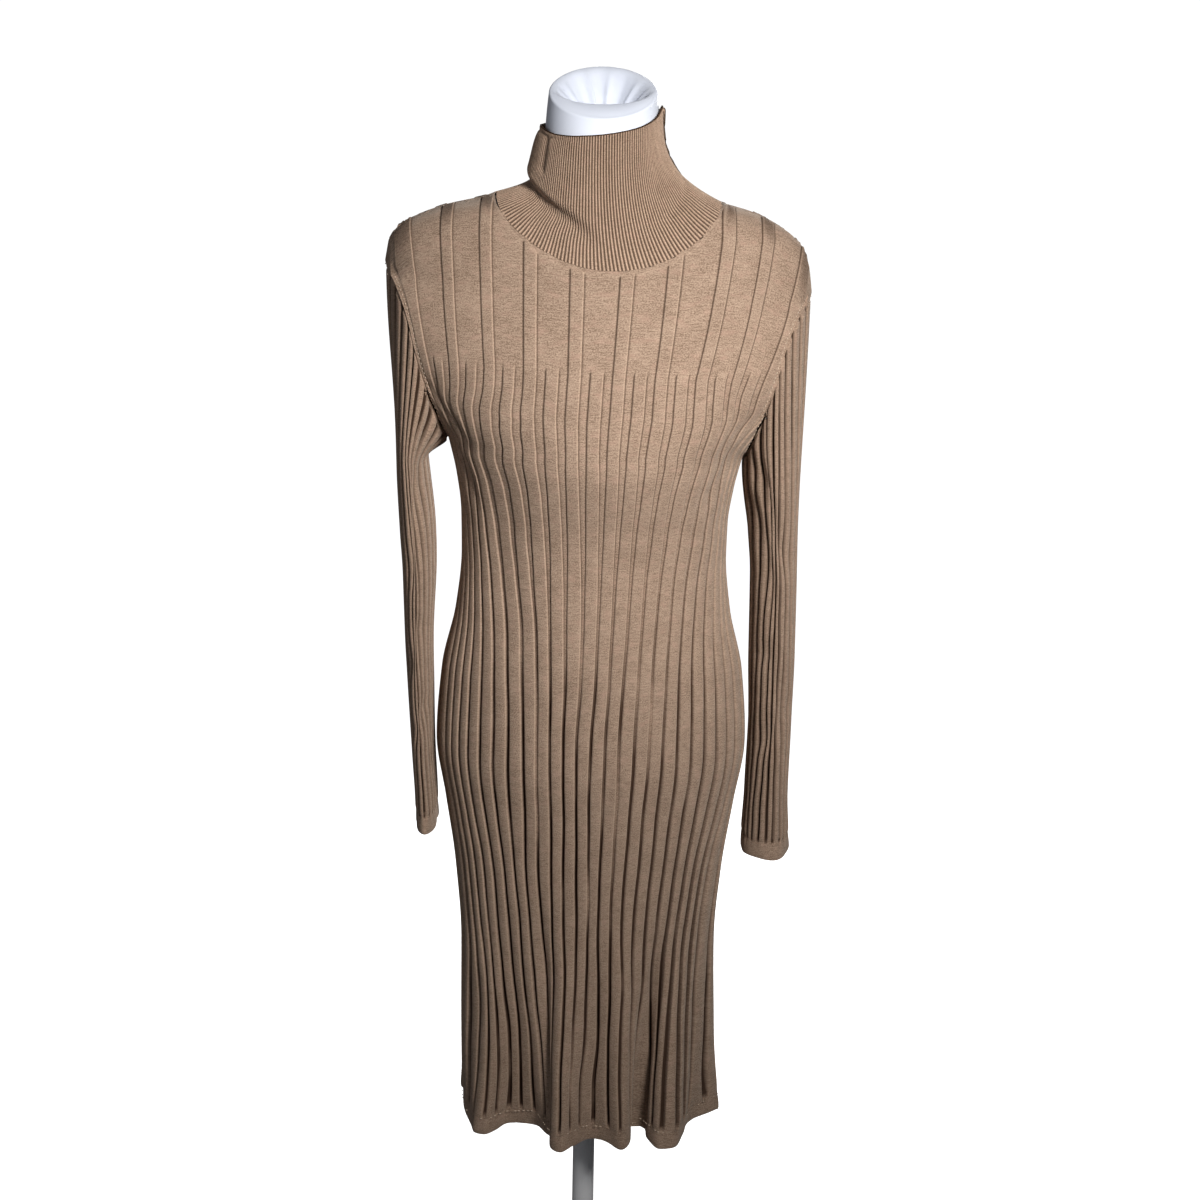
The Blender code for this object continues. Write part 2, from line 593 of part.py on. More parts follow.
def make_collar(shells):
    """The roll neck: standing in front, turned down from the sides round the back."""
    loop = neckline_loop(shells)
    half_width = loop[:, 0].max()
    half_depth = -loop[:, 1].min()
    table = read_table(COLLAR_COLUMNS, COLLAR_ROWS)
    points = []
    for start in loop:
        turn = math.atan2(start[0] / half_width, -start[1] / half_depth)
        degrees = math.degrees(turn)
        points.append(collar_path(start, turn, float(table["crest"](degrees)), float(table["fold"](degrees))))
    points = np.array(points)
    cells = [cell[::-1] for cell in grid_cells(np.ones(points.shape[:2], bool), closed=True)]
    total = {}
    flat = points.reshape(-1, 3)
    add_normals(flat, cells, total)
    normals = vertex_normals(flat, total)
    add_object("collar", *wall_mesh(flat, flat - normals * WALL, cells), "rib")


def ring(height, across, front, back, core=0.0, sides=TORSO_SIDES):
    """A level ring of points, with its own depth in front and behind, round a core that shows
    where it is the wider one."""
    turns = 2 * math.pi * np.arange(sides) / sides
    deep = np.where(np.cos(turns) > 0, front, back)
    x = across * np.sin(turns)
    y = -deep * np.cos(turns)
    wide = np.hypot(x, y)
    grow = (wide ** CORE_BLEND + core ** CORE_BLEND) ** (1 / CORE_BLEND) / wide
    return np.column_stack((x * grow, y * grow, np.full(sides, height)))


def ring_stack(rings):
    """Points and faces of a solid through a stack of rings, lowest first, closed at both ends."""
    count = len(rings[0])
    points = np.concatenate(rings)
    faces = []
    for j in range(len(rings) - 1):
        for i in range(count):
            k = (i + 1) % count
            faces.append((j * count + i, j * count + k, (j + 1) * count + k, (j + 1) * count + i))
    top = (len(rings) - 1) * count
    faces.append(tuple(range(top, top + count)))
    faces.append(tuple(range(count - 1, -1, -1)))
    return [tuple(point) for point in points], faces


def make_torso():
    """The form under the dress: no head, arms or legs, and smooth all over."""
    rings = [ring(*row) for row in TORSO_LOW_ROWS]
    for height in TORSO_HEIGHTS:
        inset = WALL + FORM_GAP
        across = min(float(BODY["edge_x"](height)) - inset, FORM_ARM_X)
        rings.append(ring(height, across, float(BODY["front"](height)) - inset,
                          float(BODY["back"](height)) - inset))
    rings += [ring(*row) for row in TORSO_TOP_ROWS]
    for points in rings:
        points[:, 2] -= lean(points[:, 0], points[:, 2])
    add_object("form_torso", *ring_stack(rings), "cover")


def make_neck():
    """The neck's cover: a rolled rim, tilted forward, round a pocket where the cloth is tucked in."""
    foot = NECK_RADIUS + NECK_FOOT
    middle = (NECK_FOOT_TOP + NECK_TOP) / 2
    profile = [(foot, FORM_NECK_SEAM + SEAM, 0.0), (foot, NECK_FOOT_TOP, 0.0), (NECK_RADIUS, middle, 0.5)]
    for step in range(NECK_RIM_STEPS + 1):
        angle = math.pi * step / NECK_RIM_STEPS
        profile.append((NECK_RADIUS - NECK_RIM * (1 - math.cos(angle)),
                        NECK_TOP - NECK_RIM + NECK_RIM * math.sin(angle), 1.0))
    for radius, depth, tilt in NECK_POCKET_ROWS:
        profile.append((radius, NECK_TOP - NECK_POCKET_DEPTH * depth, tilt))
    rings = []
    for radius, height, tilt in profile:
        points = ring(height, radius, radius, radius)
        points[:, 2] += NECK_TILT * tilt * points[:, 1]
        rings.append(points)
    add_object("form_neck", *ring_stack(rings), "cover")


def turned(profile, sides):
    """A turned solid: rings of (radius, height), outer side first, from its bottom to its top."""
    return ring_stack([ring(height, radius, radius, radius, 0.0, sides) for radius, height in profile])


def make_stand():
    """A round base with a hub, and a pole that ends in a flange under the torso."""
    b = BASE_BEVEL
    socket = POLE_RADIUS + SEAM
    seat = BASE_THICKNESS / 2
    base = [(BASE_RADIUS, 0.0), (BASE_RADIUS, BASE_THICKNESS - b), (BASE_RADIUS - b, BASE_THICKNESS),
            (HUB_RADIUS + b, BASE_THICKNESS + BASE_RISE), (HUB_RADIUS, BASE_THICKNESS + BASE_RISE + b),
            (HUB_RADIUS, HUB_HEIGHT - b), (HUB_RADIUS - b, HUB_HEIGHT), (socket, HUB_HEIGHT),
            (socket, seat)]
    add_object("form_base", *turned(base, BASE_SIDES), "stand")
    under = FORM_BOTTOM - SEAM
    pole = [(POLE_RADIUS, seat + SEAM), (POLE_RADIUS, under - FLANGE_THICKNESS),
            (FLANGE_RADIUS, under - FLANGE_THICKNESS), (FLANGE_RADIUS, under)]
    add_object("form_pole", *turned(pole, POLE_SIDES), "stand")


def main():
    for old in list(bpy.data.objects):
        bpy.data.objects.remove(old, do_unlink=True)
    shells = make_panels()
    for name, sleeve in SLEEVES.items():
        make_sleeve(name, sleeve, shells)
    make_collar(shells)
    make_torso()
    make_neck()
    make_stand()


main()
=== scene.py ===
"""Looks of the ribbed roll-neck sweater dress on its limbless dress form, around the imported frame.

Metres, +Z up, the front faces -Y, the wearer's left is +X. The cloth's surfaces are the solids' own
surfaces, worked out again here from the same kind of sizes and tables, with the knit's ribs, creases,
seams and stitches modelled on them. The roll neck, the form's neck and the lower half of the wearer's
right sleeve are drawn finer than the solids' and lie a few millimetres off them.
"""
import math
from types import SimpleNamespace

import bpy
import numpy as np
from mathutils import Matrix, Vector


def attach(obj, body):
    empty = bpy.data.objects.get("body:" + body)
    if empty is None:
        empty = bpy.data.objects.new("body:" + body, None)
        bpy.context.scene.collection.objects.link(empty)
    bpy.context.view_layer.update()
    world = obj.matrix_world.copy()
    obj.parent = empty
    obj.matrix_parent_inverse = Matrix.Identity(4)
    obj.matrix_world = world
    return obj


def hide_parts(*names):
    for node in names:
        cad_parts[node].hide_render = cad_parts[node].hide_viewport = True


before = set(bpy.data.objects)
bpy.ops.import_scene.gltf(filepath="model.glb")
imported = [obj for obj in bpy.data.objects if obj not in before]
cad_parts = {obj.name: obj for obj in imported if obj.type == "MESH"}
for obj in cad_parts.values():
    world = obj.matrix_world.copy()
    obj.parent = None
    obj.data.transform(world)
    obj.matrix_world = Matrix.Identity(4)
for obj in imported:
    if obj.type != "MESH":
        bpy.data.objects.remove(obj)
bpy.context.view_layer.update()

# ---- sizes of the dress and the form, nearly all as the solids have them ----
HALF_RIBS = 13.5
SEAM_RIB = 13               # the rib next to the side seam
HEM = 0.395
HEM_BAND = 0.019
CUFF_BAND = 0.018
FORK = 1.235
ARMHOLE_RIB = 9.5
OUTER_RIB = 9               # the last rib inside the armhole
SHOULDER_NECK = 1.4375
SHOULDER_TIP = 1.357
NECKLINE_DROP = {"front": 0.0665, "back": 0.016}
NECK_CORNERS = (-0.1090, 0.1250)    # the neckline's ends on the shoulders, in the dress as it hangs
LEAN = 0.013
LEAN_LOW = 1.02
LEAN_FULL = 1.15
LEAN_FADE = 1.345
LEAN_END = 1.455
FLUTE_TOP = 0.68
FLUTE_FADE = 1.7
FLUTE_SAG = 0.12
UNDERARM_TURN = 0.022
COLLAR_TOP_X = 0.0630
COLLAR_TOP_Y = 0.0660
COLLAR_EDGE = 0.0008
FOLD_RADIUS = 0.0026
FOLD_GROWTH = 0.010
FOLD_SPLAY = 0.06
FORM_INSET = 0.0048
FORM_ARM_X = 0.190
FORM_NECK_SEAM = 1.470
NECK_RADIUS = 0.0570
NECK_FOOT = 0.0035
NECK_FOOT_TOP = 1.492
NECK_TOP = 1.5465
NECK_TILT = 0.318
NECK_POCKET_DEPTH = 0.045

# The dress by height, as in the solids' own table.
BODY_COLUMNS = "height edge_x front back front_edge back_edge edge_rib spread"
BODY_ROWS = (
    (0.395, 0.1470, 0.094, 0.090, 0.000, 0.000, 13.50, 1.00),
    (0.500, 0.1445, 0.090, 0.086, 0.000, 0.000, 13.50, 1.00),
    (0.610, 0.1430, 0.088, 0.085, 0.000, 0.000, 13.50, 1.00),
    (0.700, 0.1490, 0.092, 0.096, 0.000, 0.000, 13.50, 0.98),
    (0.780, 0.1600, 0.100, 0.111, 0.000, 0.000, 13.50, 0.95),
    (0.850, 0.1700, 0.107, 0.118, 0.000, 0.000, 13.50, 0.93),
    (0.930, 0.1640, 0.107, 0.111, 0.000, 0.000, 13.50, 0.97),
    (1.000, 0.1485, 0.103, 0.093, 0.000, 0.000, 13.50, 1.09),
    (1.060, 0.1425, 0.100, 0.080, 0.000, 0.000, 13.50, 1.22),
    (1.100, 0.1430, 0.105, 0.080, 0.000, 0.000, 13.50, 1.29),
    (1.140, 0.1480, 0.117, 0.087, 0.000, 0.000, 13.50, 1.33),
    (1.175, 0.1560, 0.125, 0.095, 0.000, 0.000, 13.50, 1.34),
    (1.188, 0.1595, 0.125, 0.098, 0.028, 0.030, 12.20, 1.33),
    (1.205, 0.1645, 0.124, 0.102, 0.046, 0.047, 10.90, 1.31),
    (1.235, 0.1740, 0.118, 0.106, 0.060, 0.064, 9.50, 1.24),
    (1.270, 0.1850, 0.109, 0.108, 0.065, 0.071, 9.50, 1.18),
    (1.310, 0.1960, 0.097, 0.107, 0.058, 0.066, 9.50, 1.12),
    (1.335, 0.2070, 0.0895, 0.104, 0.043, 0.050, 9.50, 1.07),
    (1.357, 0.2225, 0.083, 0.100, 0.000, 0.000, 9.50, 1.04),
    (1.378, 0.2200, 0.077, 0.095, 0.000, 0.000, 9.05, 1.03),
    (1.394, 0.2140, 0.072, 0.090, 0.000, 0.000, 8.70, 1.02),
    (1.4100, 0.1960, 0.067, 0.085, 0.000, 0.000, 8.10, 1.01),
    (1.4260, 0.1610, 0.063, 0.079, 0.000, 0.000, 6.80, 1.00),
    (1.4375, 0.1180, 0.060, 0.072, 0.000, 0.000, 5.20, 1.00),
    (1.4550, 0.0840, 0.059, 0.066, 0.000, 0.000, 3.80, 1.00),
)
ARMHOLE_COLUMNS = "rib height"
ARMHOLE_ROWS = ((9.5, 1.235), (10.5, 1.213), (11.5, 1.197), (12.5, 1.185), (13.5, 1.175))
FRONT_HEM = (
    (-0.141, 0.006), (-0.139, -0.028), (-0.128, -0.066), (-0.112, -0.073), (-0.098, -0.065),
    (-0.084, -0.055), (-0.064, -0.055), (-0.052, -0.060), (-0.046, -0.076), (-0.038, -0.096),
    (-0.025, -0.106), (-0.010, -0.095), (0.008, -0.084), (0.024, -0.088), (0.042, -0.099),
    (0.052, -0.086), (0.060, -0.065), (0.070, -0.078), (0.085, -0.097), (0.101, -0.092),
    (0.112, -0.068), (0.122, -0.044), (0.138, -0.022), (0.152, -0.004),
)
BACK_HEM = (
    (-0.141, 0.006), (-0.139, 0.022), (-0.147, 0.042), (-0.133, 0.066), (-0.111, 0.082),
    (-0.092, 0.070), (-0.072, 0.064), (-0.053, 0.082), (-0.034, 0.103), (-0.014, 0.096),
    (0.004, 0.078), (0.024, 0.080), (0.041, 0.099), (0.061, 0.100), (0.076, 0.078),
    (0.092, 0.062), (0.110, 0.074), (0.128, 0.074), (0.140, 0.052), (0.146, 0.026),
    (0.152, -0.004),
)
SLEEVE_COLUMNS = "height centre thick deep"
SLEEVES = {
    "left": {
        "side": 1, "cuff": 0.720, "join": 1.085,
        "rows": (
            (0.690, 0.1980, 0.0285, 0.037), (0.740, 0.1965, 0.0265, 0.039),
            (0.790, 0.1960, 0.0240, 0.042), (0.870, 0.1970, 0.0235, 0.045),
            (0.950, 0.1960, 0.0250, 0.048), (1.040, 0.1945, 0.0250, 0.053),
            (1.087, 0.1920, 0.0265, 0.057), (1.140, 0.1895, 0.0285, 0.062),
        ),
    },
    "right": {
        "side": -1, "cuff": 0.746, "join": 1.160,
        "rows": (
            (0.700, 0.1804, 0.0122, 0.046), (0.735, 0.1809, 0.0122, 0.046),
            (0.780, 0.1820, 0.0120, 0.048), (0.830, 0.1846, 0.0122, 0.050),
            (0.900, 0.1871, 0.0135, 0.053), (0.970, 0.1889, 0.0150, 0.056),
            (1.036, 0.1882, 0.0175, 0.060), (1.085, 0.1900, 0.0185, 0.064),
            (1.140, 0.1940, 0.0170, 0.066), (1.170, 0.1960, 0.0155, 0.066),
        ),
    },
}
# The roll neck round its turn in degrees from the front: height of its crest, length turned down,
# how steeply it closes in to the neck, how far above its seam the cloth slouches, and how far out.
COLLAR_COLUMNS = "turn crest fold lean crease bulge"
COLLAR_ROWS = (
    (-180.0, 1.504, 0.048, 2.5, 0.040, 0.0000), (-150.0, 1.503, 0.046, 2.7, 0.044, 0.0012),
    (-134.0, 1.503, 0.038, 3.3, 0.048, 0.0036), (-120.0, 1.504, 0.020, 4.0, 0.050, 0.0068),
    (-110.0, 1.505, 0.000, 4.4, 0.050, 0.0092), (-80.0, 1.505, 0.000, 4.4, 0.050, 0.0098),
    (-62.0, 1.5015, 0.000, 3.6, 0.051, 0.0074), (-45.0, 1.499, 0.000, 2.9, 0.051, 0.0062),
    (-28.0, 1.4985, 0.000, 2.6, 0.050, 0.0052), (-16.0, 1.4993, 0.000, 2.5, 0.045, 0.0040),
    (-7.0, 1.5000, 0.000, 2.5, 0.039, 0.0022), (2.0, 1.5010, 0.000, 2.5, 0.034, 0.0000),
    (35.0, 1.507, 0.000, 2.5, 0.048, 0.0000), (65.0, 1.517, 0.000, 2.7, 0.048, 0.0000),
    (80.0, 1.5245, 0.000, 3.0, 0.048, 0.0000), (88.0, 1.526, 0.000, 3.0, 0.048, 0.0000),
    (97.0, 1.526, 0.000, 3.0, 0.048, 0.0000), (103.0, 1.525, 0.030, 3.0, 0.048, 0.0000),
    (110.0, 1.5230, 0.056, 2.9, 0.048, 0.0000), (120.0, 1.519, 0.062, 2.8, 0.048, 0.0000),
    (145.0, 1.511, 0.057, 2.6, 0.046, 0.0000), (180.0, 1.504, 0.048, 2.5, 0.040, 0.0000),
)
TORSO_LOW_ROWS = (
    (0.790, 0.130, 0.070, 0.082, 0.0), (0.794, 0.139, 0.079, 0.091, 0.0),
    (0.804, 0.148, 0.087, 0.099, 0.0),
)
TORSO_TOP_ROWS = (
    (1.3544, 0.190, 0.076, 0.092, 0.050), (1.3754, 0.190, 0.068, 0.085, 0.054),
    (1.3930, 0.190, 0.062, 0.077, 0.056), (1.4085, 0.186, 0.054, 0.068, 0.057),
    (1.4215, 0.1570, 0.045, 0.057, 0.058), (1.4330, 0.111, 0.039, 0.046, 0.0585),
    (1.4430, 0.082, 0.038, 0.040, 0.0590), (1.4530, 0.064, 0.036, 0.036, 0.0595),
    (1.4700, 0.050, 0.040, 0.040, 0.0605),
)

# ---- the knit's own sizes ----
CLOTH = 0.0013              # thickness of the fine knit between two ribs
BAND_CLOTH = 0.0020         # thickness of the hem and cuff bands
RIB_RISE = 0.0003           # how far a rib's top stands off the solid's surface
YOKE_LINE = {"front": 1.276, "back": 1.300}  # the even ribs start at this height
YOKE_TILT = 0.03            # the line's fall towards the wearer's left
LINK_STRIP = 0.0065         # plain strip along the neckline
SEAM_STRIP = 0.0030         # plain strip along armhole and shoulder seams
STITCH_WALES = 13           # knitted wales from one rib to the next
COURSE = 0.00095            # height of one knitted course
HEM_FLARE = 0.0042          # how far the hem swings out beyond the solid on the wearer's left,
FLARE_RIB = 10.5            # from this rib on
FLARE_TOP = 0.50            # and below this height
COLLAR_RIBS = 172
SLEEVE_RIBS = 23
BAND_STEPS = 6              # points across each rib of the hem and cuff bands
BAND_ROWS = np.linspace(0.0, 1.0, 9)[None, :]
BAND_GAP = 0.00005          # between a band and the knit above it
BAND_BULGE = 0.0003         # roundness of a band half way up
BAND_RIB_DEPTH = 0.0008     # grooves that the ribs above press into a band
BAND_WAVER = 0.0008         # unevenness of its lower edge

# How much of a rib's pitch its raised band takes, and how deep the channels between bands are,
# on the centre line and at the side seams.
RELIEF_COLUMNS = "height band side_band depth side_depth wander"
RELIEF_ROWS = (
    (0.395, 0.78, 0.64, 0.0036, 0.0036, 0.095),
    (0.440, 0.77, 0.62, 0.0046, 0.0050, 0.105),
    (0.600, 0.78, 0.63, 0.0048, 0.0052, 0.095),
    (0.780, 0.80, 0.70, 0.0042, 0.0048, 0.065),
    (0.860, 0.80, 0.73, 0.0036, 0.0044, 0.050),
    (0.930, 0.80, 0.75, 0.0028, 0.0040, 0.040),
    (1.020, 0.80, 0.77, 0.0019, 0.0032, 0.030),
    (1.050, 0.77, 0.82, 0.0017, 0.0026, 0.026),
    (1.085, 0.70, 0.80, 0.0014, 0.0023, 0.020),
    (1.120, 0.67, 0.76, 0.0011, 0.0020, 0.018),
    (1.155, 0.63, 0.70, 0.0009, 0.0017, 0.015),
    (1.190, 0.57, 0.64, 0.0008, 0.0014, 0.012),
    (1.270, 0.55, 0.58, 0.0007, 0.0010, 0.006),
    (1.330, 0.54, 0.56, 0.0006, 0.0007, 0.000),
    (1.460, 0.54, 0.55, 0.0006, 0.0006, 0.000),
)
# A column of points across a rib: which side, share of the half band, share of the half channel
# beyond it, distance back from the band's edge, height between the channel's floor and the top,
# share of the tight crease at the band's foot (cut in and painted with shade), and share of the
# raised stitch along its edge (raised and painted with a highlight).
STATION_COLUMNS = "side band channel back level slot ridge"
RIB_STATIONS = (
    (-1, 1.0, 0.48, 0.0000, 0.00, 0.0, 0.0), (-1, 1.0, 0.12, 0.0000, 0.00, 1.0, 0.0),
    (-1, 1.0, 0.00, 0.0004, 0.86, 0.0, 0.6), (-1, 1.0, 0.00, 0.0017, 1.00, 0.0, 0.1),
    (0, 0.0, 0.00, 0.0000, 1.00, 0.0, 0.0), (1, 1.0, 0.00, 0.0017, 1.00, 0.0, 0.1),
    (1, 1.0, 0.00, 0.0004, 0.86, 0.0, 1.0), (1, 1.0, 0.12, 0.0000, 0.00, 0.8, 0.0),
    (1, 1.0, 0.48, 0.0000, 0.00, 0.0, 0.0), (1, 1.0, 1.00, 0.0000, 0.00, 0.0, 0.0),
)
# How far the ribs of the front lie from an even spread over the panel, in ribs, by height, for every
# second rib from -12 to 12: the knit is stretched unevenly and its grooves drift on the way down.
RIB_SHIFT_RIBS = tuple(range(-12, 13, 2))
RIB_SHIFT_ROWS = (
    (0.400, 0.30, 0.90, 0.90, 0.55, 0.40, -0.25, -0.70, -0.96, -1.05, -1.28, -1.55, -1.40, -0.80),
    (0.461, 0.61, 1.25, 1.03, 0.62, 0.38, -0.25, -0.70, -0.92, -1.05, -1.30, -1.62, -1.60, -0.90),
    (0.516, 0.70, 1.15, 0.90, 0.62, 0.24, -0.32, -0.50, -0.75, -0.97, -1.20, -1.50, -1.60, -1.20),
    (0.588, 0.90, 0.84, 0.44, 0.20, -0.04, -0.22, -0.44, -0.63, -0.72, -0.90, -1.15, -1.50, -1.50),
    (0.658, 0.66, 0.32, 0.03, -0.06, -0.21, -0.34, -0.43, -0.64, -0.74, -0.82, -0.96, -1.24, -1.50),
    (0.731, 0.60, 0.17, -0.13, -0.29, -0.36, -0.40, -0.47, -0.60, -0.59, -0.58, -0.66, -0.88, -1.15),
    (0.802, 0.50, 0.00, -0.43, -0.33, -0.20, -0.34, -0.48, -0.53, -0.56, -0.52, -0.44, -0.41, -0.50),
    (0.874, 0.50, -0.03, -0.40, -0.28, -0.18, -0.37, -0.44, -0.48, -0.43, -0.42, -0.35, -0.34, -0.55),
    (0.939, 0.40, -0.03, -0.36, -0.38, -0.24, -0.31, -0.22, -0.32, -0.31, -0.33, -0.32, -0.36, -0.55),
    (1.003, 0.00, -0.33, -0.69, -0.72, -0.38, -0.32, -0.13, -0.17, -0.13, -0.08, 0.04, 0.00, -0.26),
    (1.050, -0.30, -0.58, -0.96, -0.98, -0.58, -0.27, -0.09, -0.13, -0.07, 0.04, 0.28, 0.24, 0.10),
    (1.085, -0.40, -0.74, -0.93, -1.05, -0.62, -0.22, -0.09, -0.14, -0.07, 0.08, 0.36, 0.26, 0.10),
    (1.115, -0.45, -0.80, -0.88, -1.04, -0.52, -0.18, -0.09, -0.17, -0.14, 0.06, 0.28, 0.00, 0.00),
    (1.145, -0.40, -0.72, -0.74, -1.02, -0.46, -0.11, -0.09, -0.19, -0.20, 0.01, 0.07, -0.28, -0.15),
    (1.170, -0.40, -0.80, -0.98, -1.20, -0.58, -0.10, -0.08, -0.22, -0.16, 0.06, -0.02, -0.32, -0.15),
    (1.190, -0.40, -0.90, -1.15, -1.36, -0.76, -0.22, -0.11, -0.12, 0.10, 0.52, 0.30, 0.00, 0.00),
    (1.205, -0.35, -0.80, -1.00, -1.20, -0.74, -0.20, -0.10, -0.10, 0.12, 0.50, 0.08, -0.12, -0.05),
    (1.220, -0.25, -0.55, -0.74, -0.86, -0.48, -0.15, -0.09, -0.10, 0.06, 0.34, -0.12, -0.22, -0.08),
    (1.235, -0.15, -0.32, -0.44, -0.47, -0.32, -0.09, -0.05, -0.08, -0.02, 0.14, -0.28, -0.26, -0.10),
    (1.250, -0.08, -0.18, -0.24, -0.26, -0.21, -0.06, -0.02, -0.04, 0.01, 0.10, -0.32, -0.30, -0.10),
    (1.270, -0.02, -0.06, -0.10, -0.12, -0.13, -0.01, 0.03, 0.01, 0.03, 0.06, -0.12, -0.10, -0.02),
)
# Above the bust the ribs run nearly straight to these distances from the middle at the shoulders.
YOKE_SPREAD_FROM = 1.270
YOKE_SPREAD_TO = 1.405
YOKE_SPREAD_ROWS = (
    (-9, -0.2010), (-7, -0.1560), (-5, -0.1155), (-3, -0.0691), (-1, -0.0210), (1, 0.0314),
    (3, 0.0798), (5, 0.1328), (7, 0.1735), (9, 0.2185),
)
# Grooves that lie open and soft over a stretch: groove, height, half its length, share lost.
SOFT_COLUMNS = "groove height half lost"
SOFT_ROWS = {
    "front": (
        (-3.5, 0.845, 0.085, 0.55), (2.5, 0.800, 0.070, 0.60), (4.5, 0.905, 0.050, 0.45),
        (-5.5, 0.520, 0.060, 0.50), (-0.5, 0.470, 0.050, 0.55), (6.5, 0.600, 0.060, 0.40),
        (-8.5, 0.650, 0.070, 0.45), (0.5, 0.690, 0.050, 0.40),
    ),
    "back": (
        (-4.5, 0.760, 0.080, 0.50), (1.5, 0.610, 0.070, 0.55), (5.5, 0.880, 0.060, 0.45),
        (-1.5, 0.480, 0.050, 0.50), (7.5, 0.540, 0.060, 0.45),
    ),
}
# Soft troughs (and, where depth is negative, ridges) in the cloth: from a rib and height to another,
# half width in ribs, depth.
CREASE_COLUMNS = "start height end to_height width depth"
CREASE_ROWS = {
    "front": (
        (-4.9, 1.150, -5.4, 0.985, 1.3, 0.0022), (-6.2, 1.130, -7.0, 0.960, 1.2, -0.0015),
        (9.3, 1.195, 6.8, 1.130, 0.8, 0.0028), (9.2, 1.232, 7.0, 1.182, 0.5, 0.0020),
        (-9.6, 1.200, -7.2, 1.120, 0.8, 0.0026), (-9.2, 1.240, -7.0, 1.185, 0.5, 0.0024),
        (7.6, 1.050, 7.4, 0.930, 1.5, 0.0014), (-3.4, 0.640, -3.8, 0.360, 0.8, 0.0085),
        (-6.6, 0.600, -7.5, 0.360, 1.0, 0.0045), (-10.6, 0.560, -11.2, 0.360, 0.9, 0.0050),
        (-1.4, 0.600, -1.9, 0.360, 1.0, -0.0030), (1.5, 0.560, 1.6, 0.360, 0.8, 0.0034),
        (3.7, 0.620, 4.0, 0.360, 1.0, -0.0026), (6.8, 0.600, 5.7, 0.360, 0.75, 0.0125),
        (9.0, 0.590, 9.7, 0.360, 1.0, -0.0022), (11.6, 0.580, 11.9, 0.360, 0.7, 0.0040),
    ),
    "back": (
        (-8.6, 1.190, -5.2, 1.100, 1.3, 0.0022), (8.6, 1.190, 5.4, 1.090, 1.3, 0.0024),
        (-3.0, 1.070, 3.4, 1.062, 1.4, 0.0016), (4.0, 1.030, -2.4, 1.018, 1.2, 0.0012),
        (0.4, 0.660, 1.0, 0.360, 1.2, 0.0040), (-6.4, 0.620, -6.9, 0.360, 1.2, 0.0040),
        (6.6, 0.640, 7.5, 0.360, 1.2, 0.0040),
    ),
}
# The same on the sleeves, by share of the way round from the outer side and height.
SLEEVE_CREASE_ROWS = {
    "left": (
        (0.36, 1.165, 0.18, 1.060, 0.012, 0.0058), (0.40, 1.125, 0.26, 1.000, 0.011, 0.0050),
        (0.30, 0.965, 0.20, 0.905, 0.012, 0.0034), (0.16, 0.900, 0.30, 0.850, 0.012, 0.0030),
        (0.62, 1.150, 0.80, 1.050, 0.013, 0.0040), (0.70, 0.960, 0.82, 0.890, 0.013, 0.0034),
        (0.60, 0.880, 0.74, 0.830, 0.012, 0.0028),
    ),
    "right": (
        (0.36, 1.150, 0.22, 1.040, 0.012, 0.0050), (0.30, 0.990, 0.16, 0.930, 0.012, 0.0028),
        (0.34, 0.900, 0.20, 0.860, 0.011, 0.0024), (0.64, 1.150, 0.80, 1.040, 0.013, 0.0034),
        (0.70, 0.960, 0.84, 0.900, 0.012, 0.0028),
    ),
}

# ---- curves ----


def smooth_curve(keys, values):
    """A smooth function through the given points that never overshoots between them."""
    keys = np.asarray(keys, float)
    values = np.asarray(values, float)
    step = np.diff(keys)
    slope = np.diff(values) / step
    tangent = np.empty_like(values)
    tangent[0] = slope[0]
    tangent[-1] = slope[-1]
    same_way = slope[:-1] * slope[1:] > 0
    safe = np.where(same_way, slope[:-1] + slope[1:], 1.0)
    tangent[1:-1] = np.where(same_way, 2 * slope[:-1] * slope[1:] / safe, 0.0)

    def read(key):
        key = np.clip(np.asarray(key, float), keys[0], keys[-1])
        i = np.clip(np.searchsorted(keys, key, side="right") - 1, 0, len(step) - 1)
        t = (key - keys[i]) / step[i]
        low = values[i] * (1 + 2 * t) * (1 - t) ** 2 + values[i + 1] * t * t * (3 - 2 * t)
        return low + step[i] * t * (1 - t) * (tangent[i] * (1 - t) - tangent[i + 1] * t)

    return read


def read_table(columns, rows):
    """Each named column as a smooth function of the first one."""
    keys = [row[0] for row in rows]
    return {name: smooth_curve(keys, [row[i] for row in rows]) for i, name in enumerate(columns.split())}


def named_rows(columns, rows):
    """A table's rows as dictionaries."""
    return [dict(zip(columns.split(), row)) for row in rows]


def ease(t):
    """0 to 1 with level ends."""
    t = np.clip(t, 0.0, 1.0)
    return t * t * (3 - 2 * t)


def ramp(value, start, end):
    """0 at start and 1 at end, level at both."""
    return ease((value - start) / (end - start))


def hill(value, middle, width):
    """1 in the middle, falling off smoothly on both sides."""
    return np.exp(-((value - middle) / width) ** 2)


def run_along(points):
    """Distance walked to each point of a line, or of every row of a grid."""
    steps = np.linalg.norm(np.diff(points, axis=-2), axis=-1)
    return np.concatenate((np.zeros(steps.shape[:-1] + (1,)), np.cumsum(steps, axis=-1)), axis=-1)


def read_line(points, places, wanted):
    """Points of a line at the wanted places along it."""
    return np.stack([np.interp(wanted, places, points[:, axis]) for axis in range(3)], axis=-1)


def read_grid(table, column, row):
    """A table between its points, by column and row numbers with fractions."""
    column = np.clip(column, 0, table.shape[0] - 1)
    row = np.clip(row, 0, table.shape[1] - 1.001)
    i = np.minimum(column.astype(int), table.shape[0] - 2)
    k = row.astype(int)
    s, t = column - i, row - k
    low = table[i, k] * (1 - s) + table[i + 1, k] * s
    high = table[i, k + 1] * (1 - s) + table[i + 1, k + 1] * s
    return low * (1 - t) + high * t


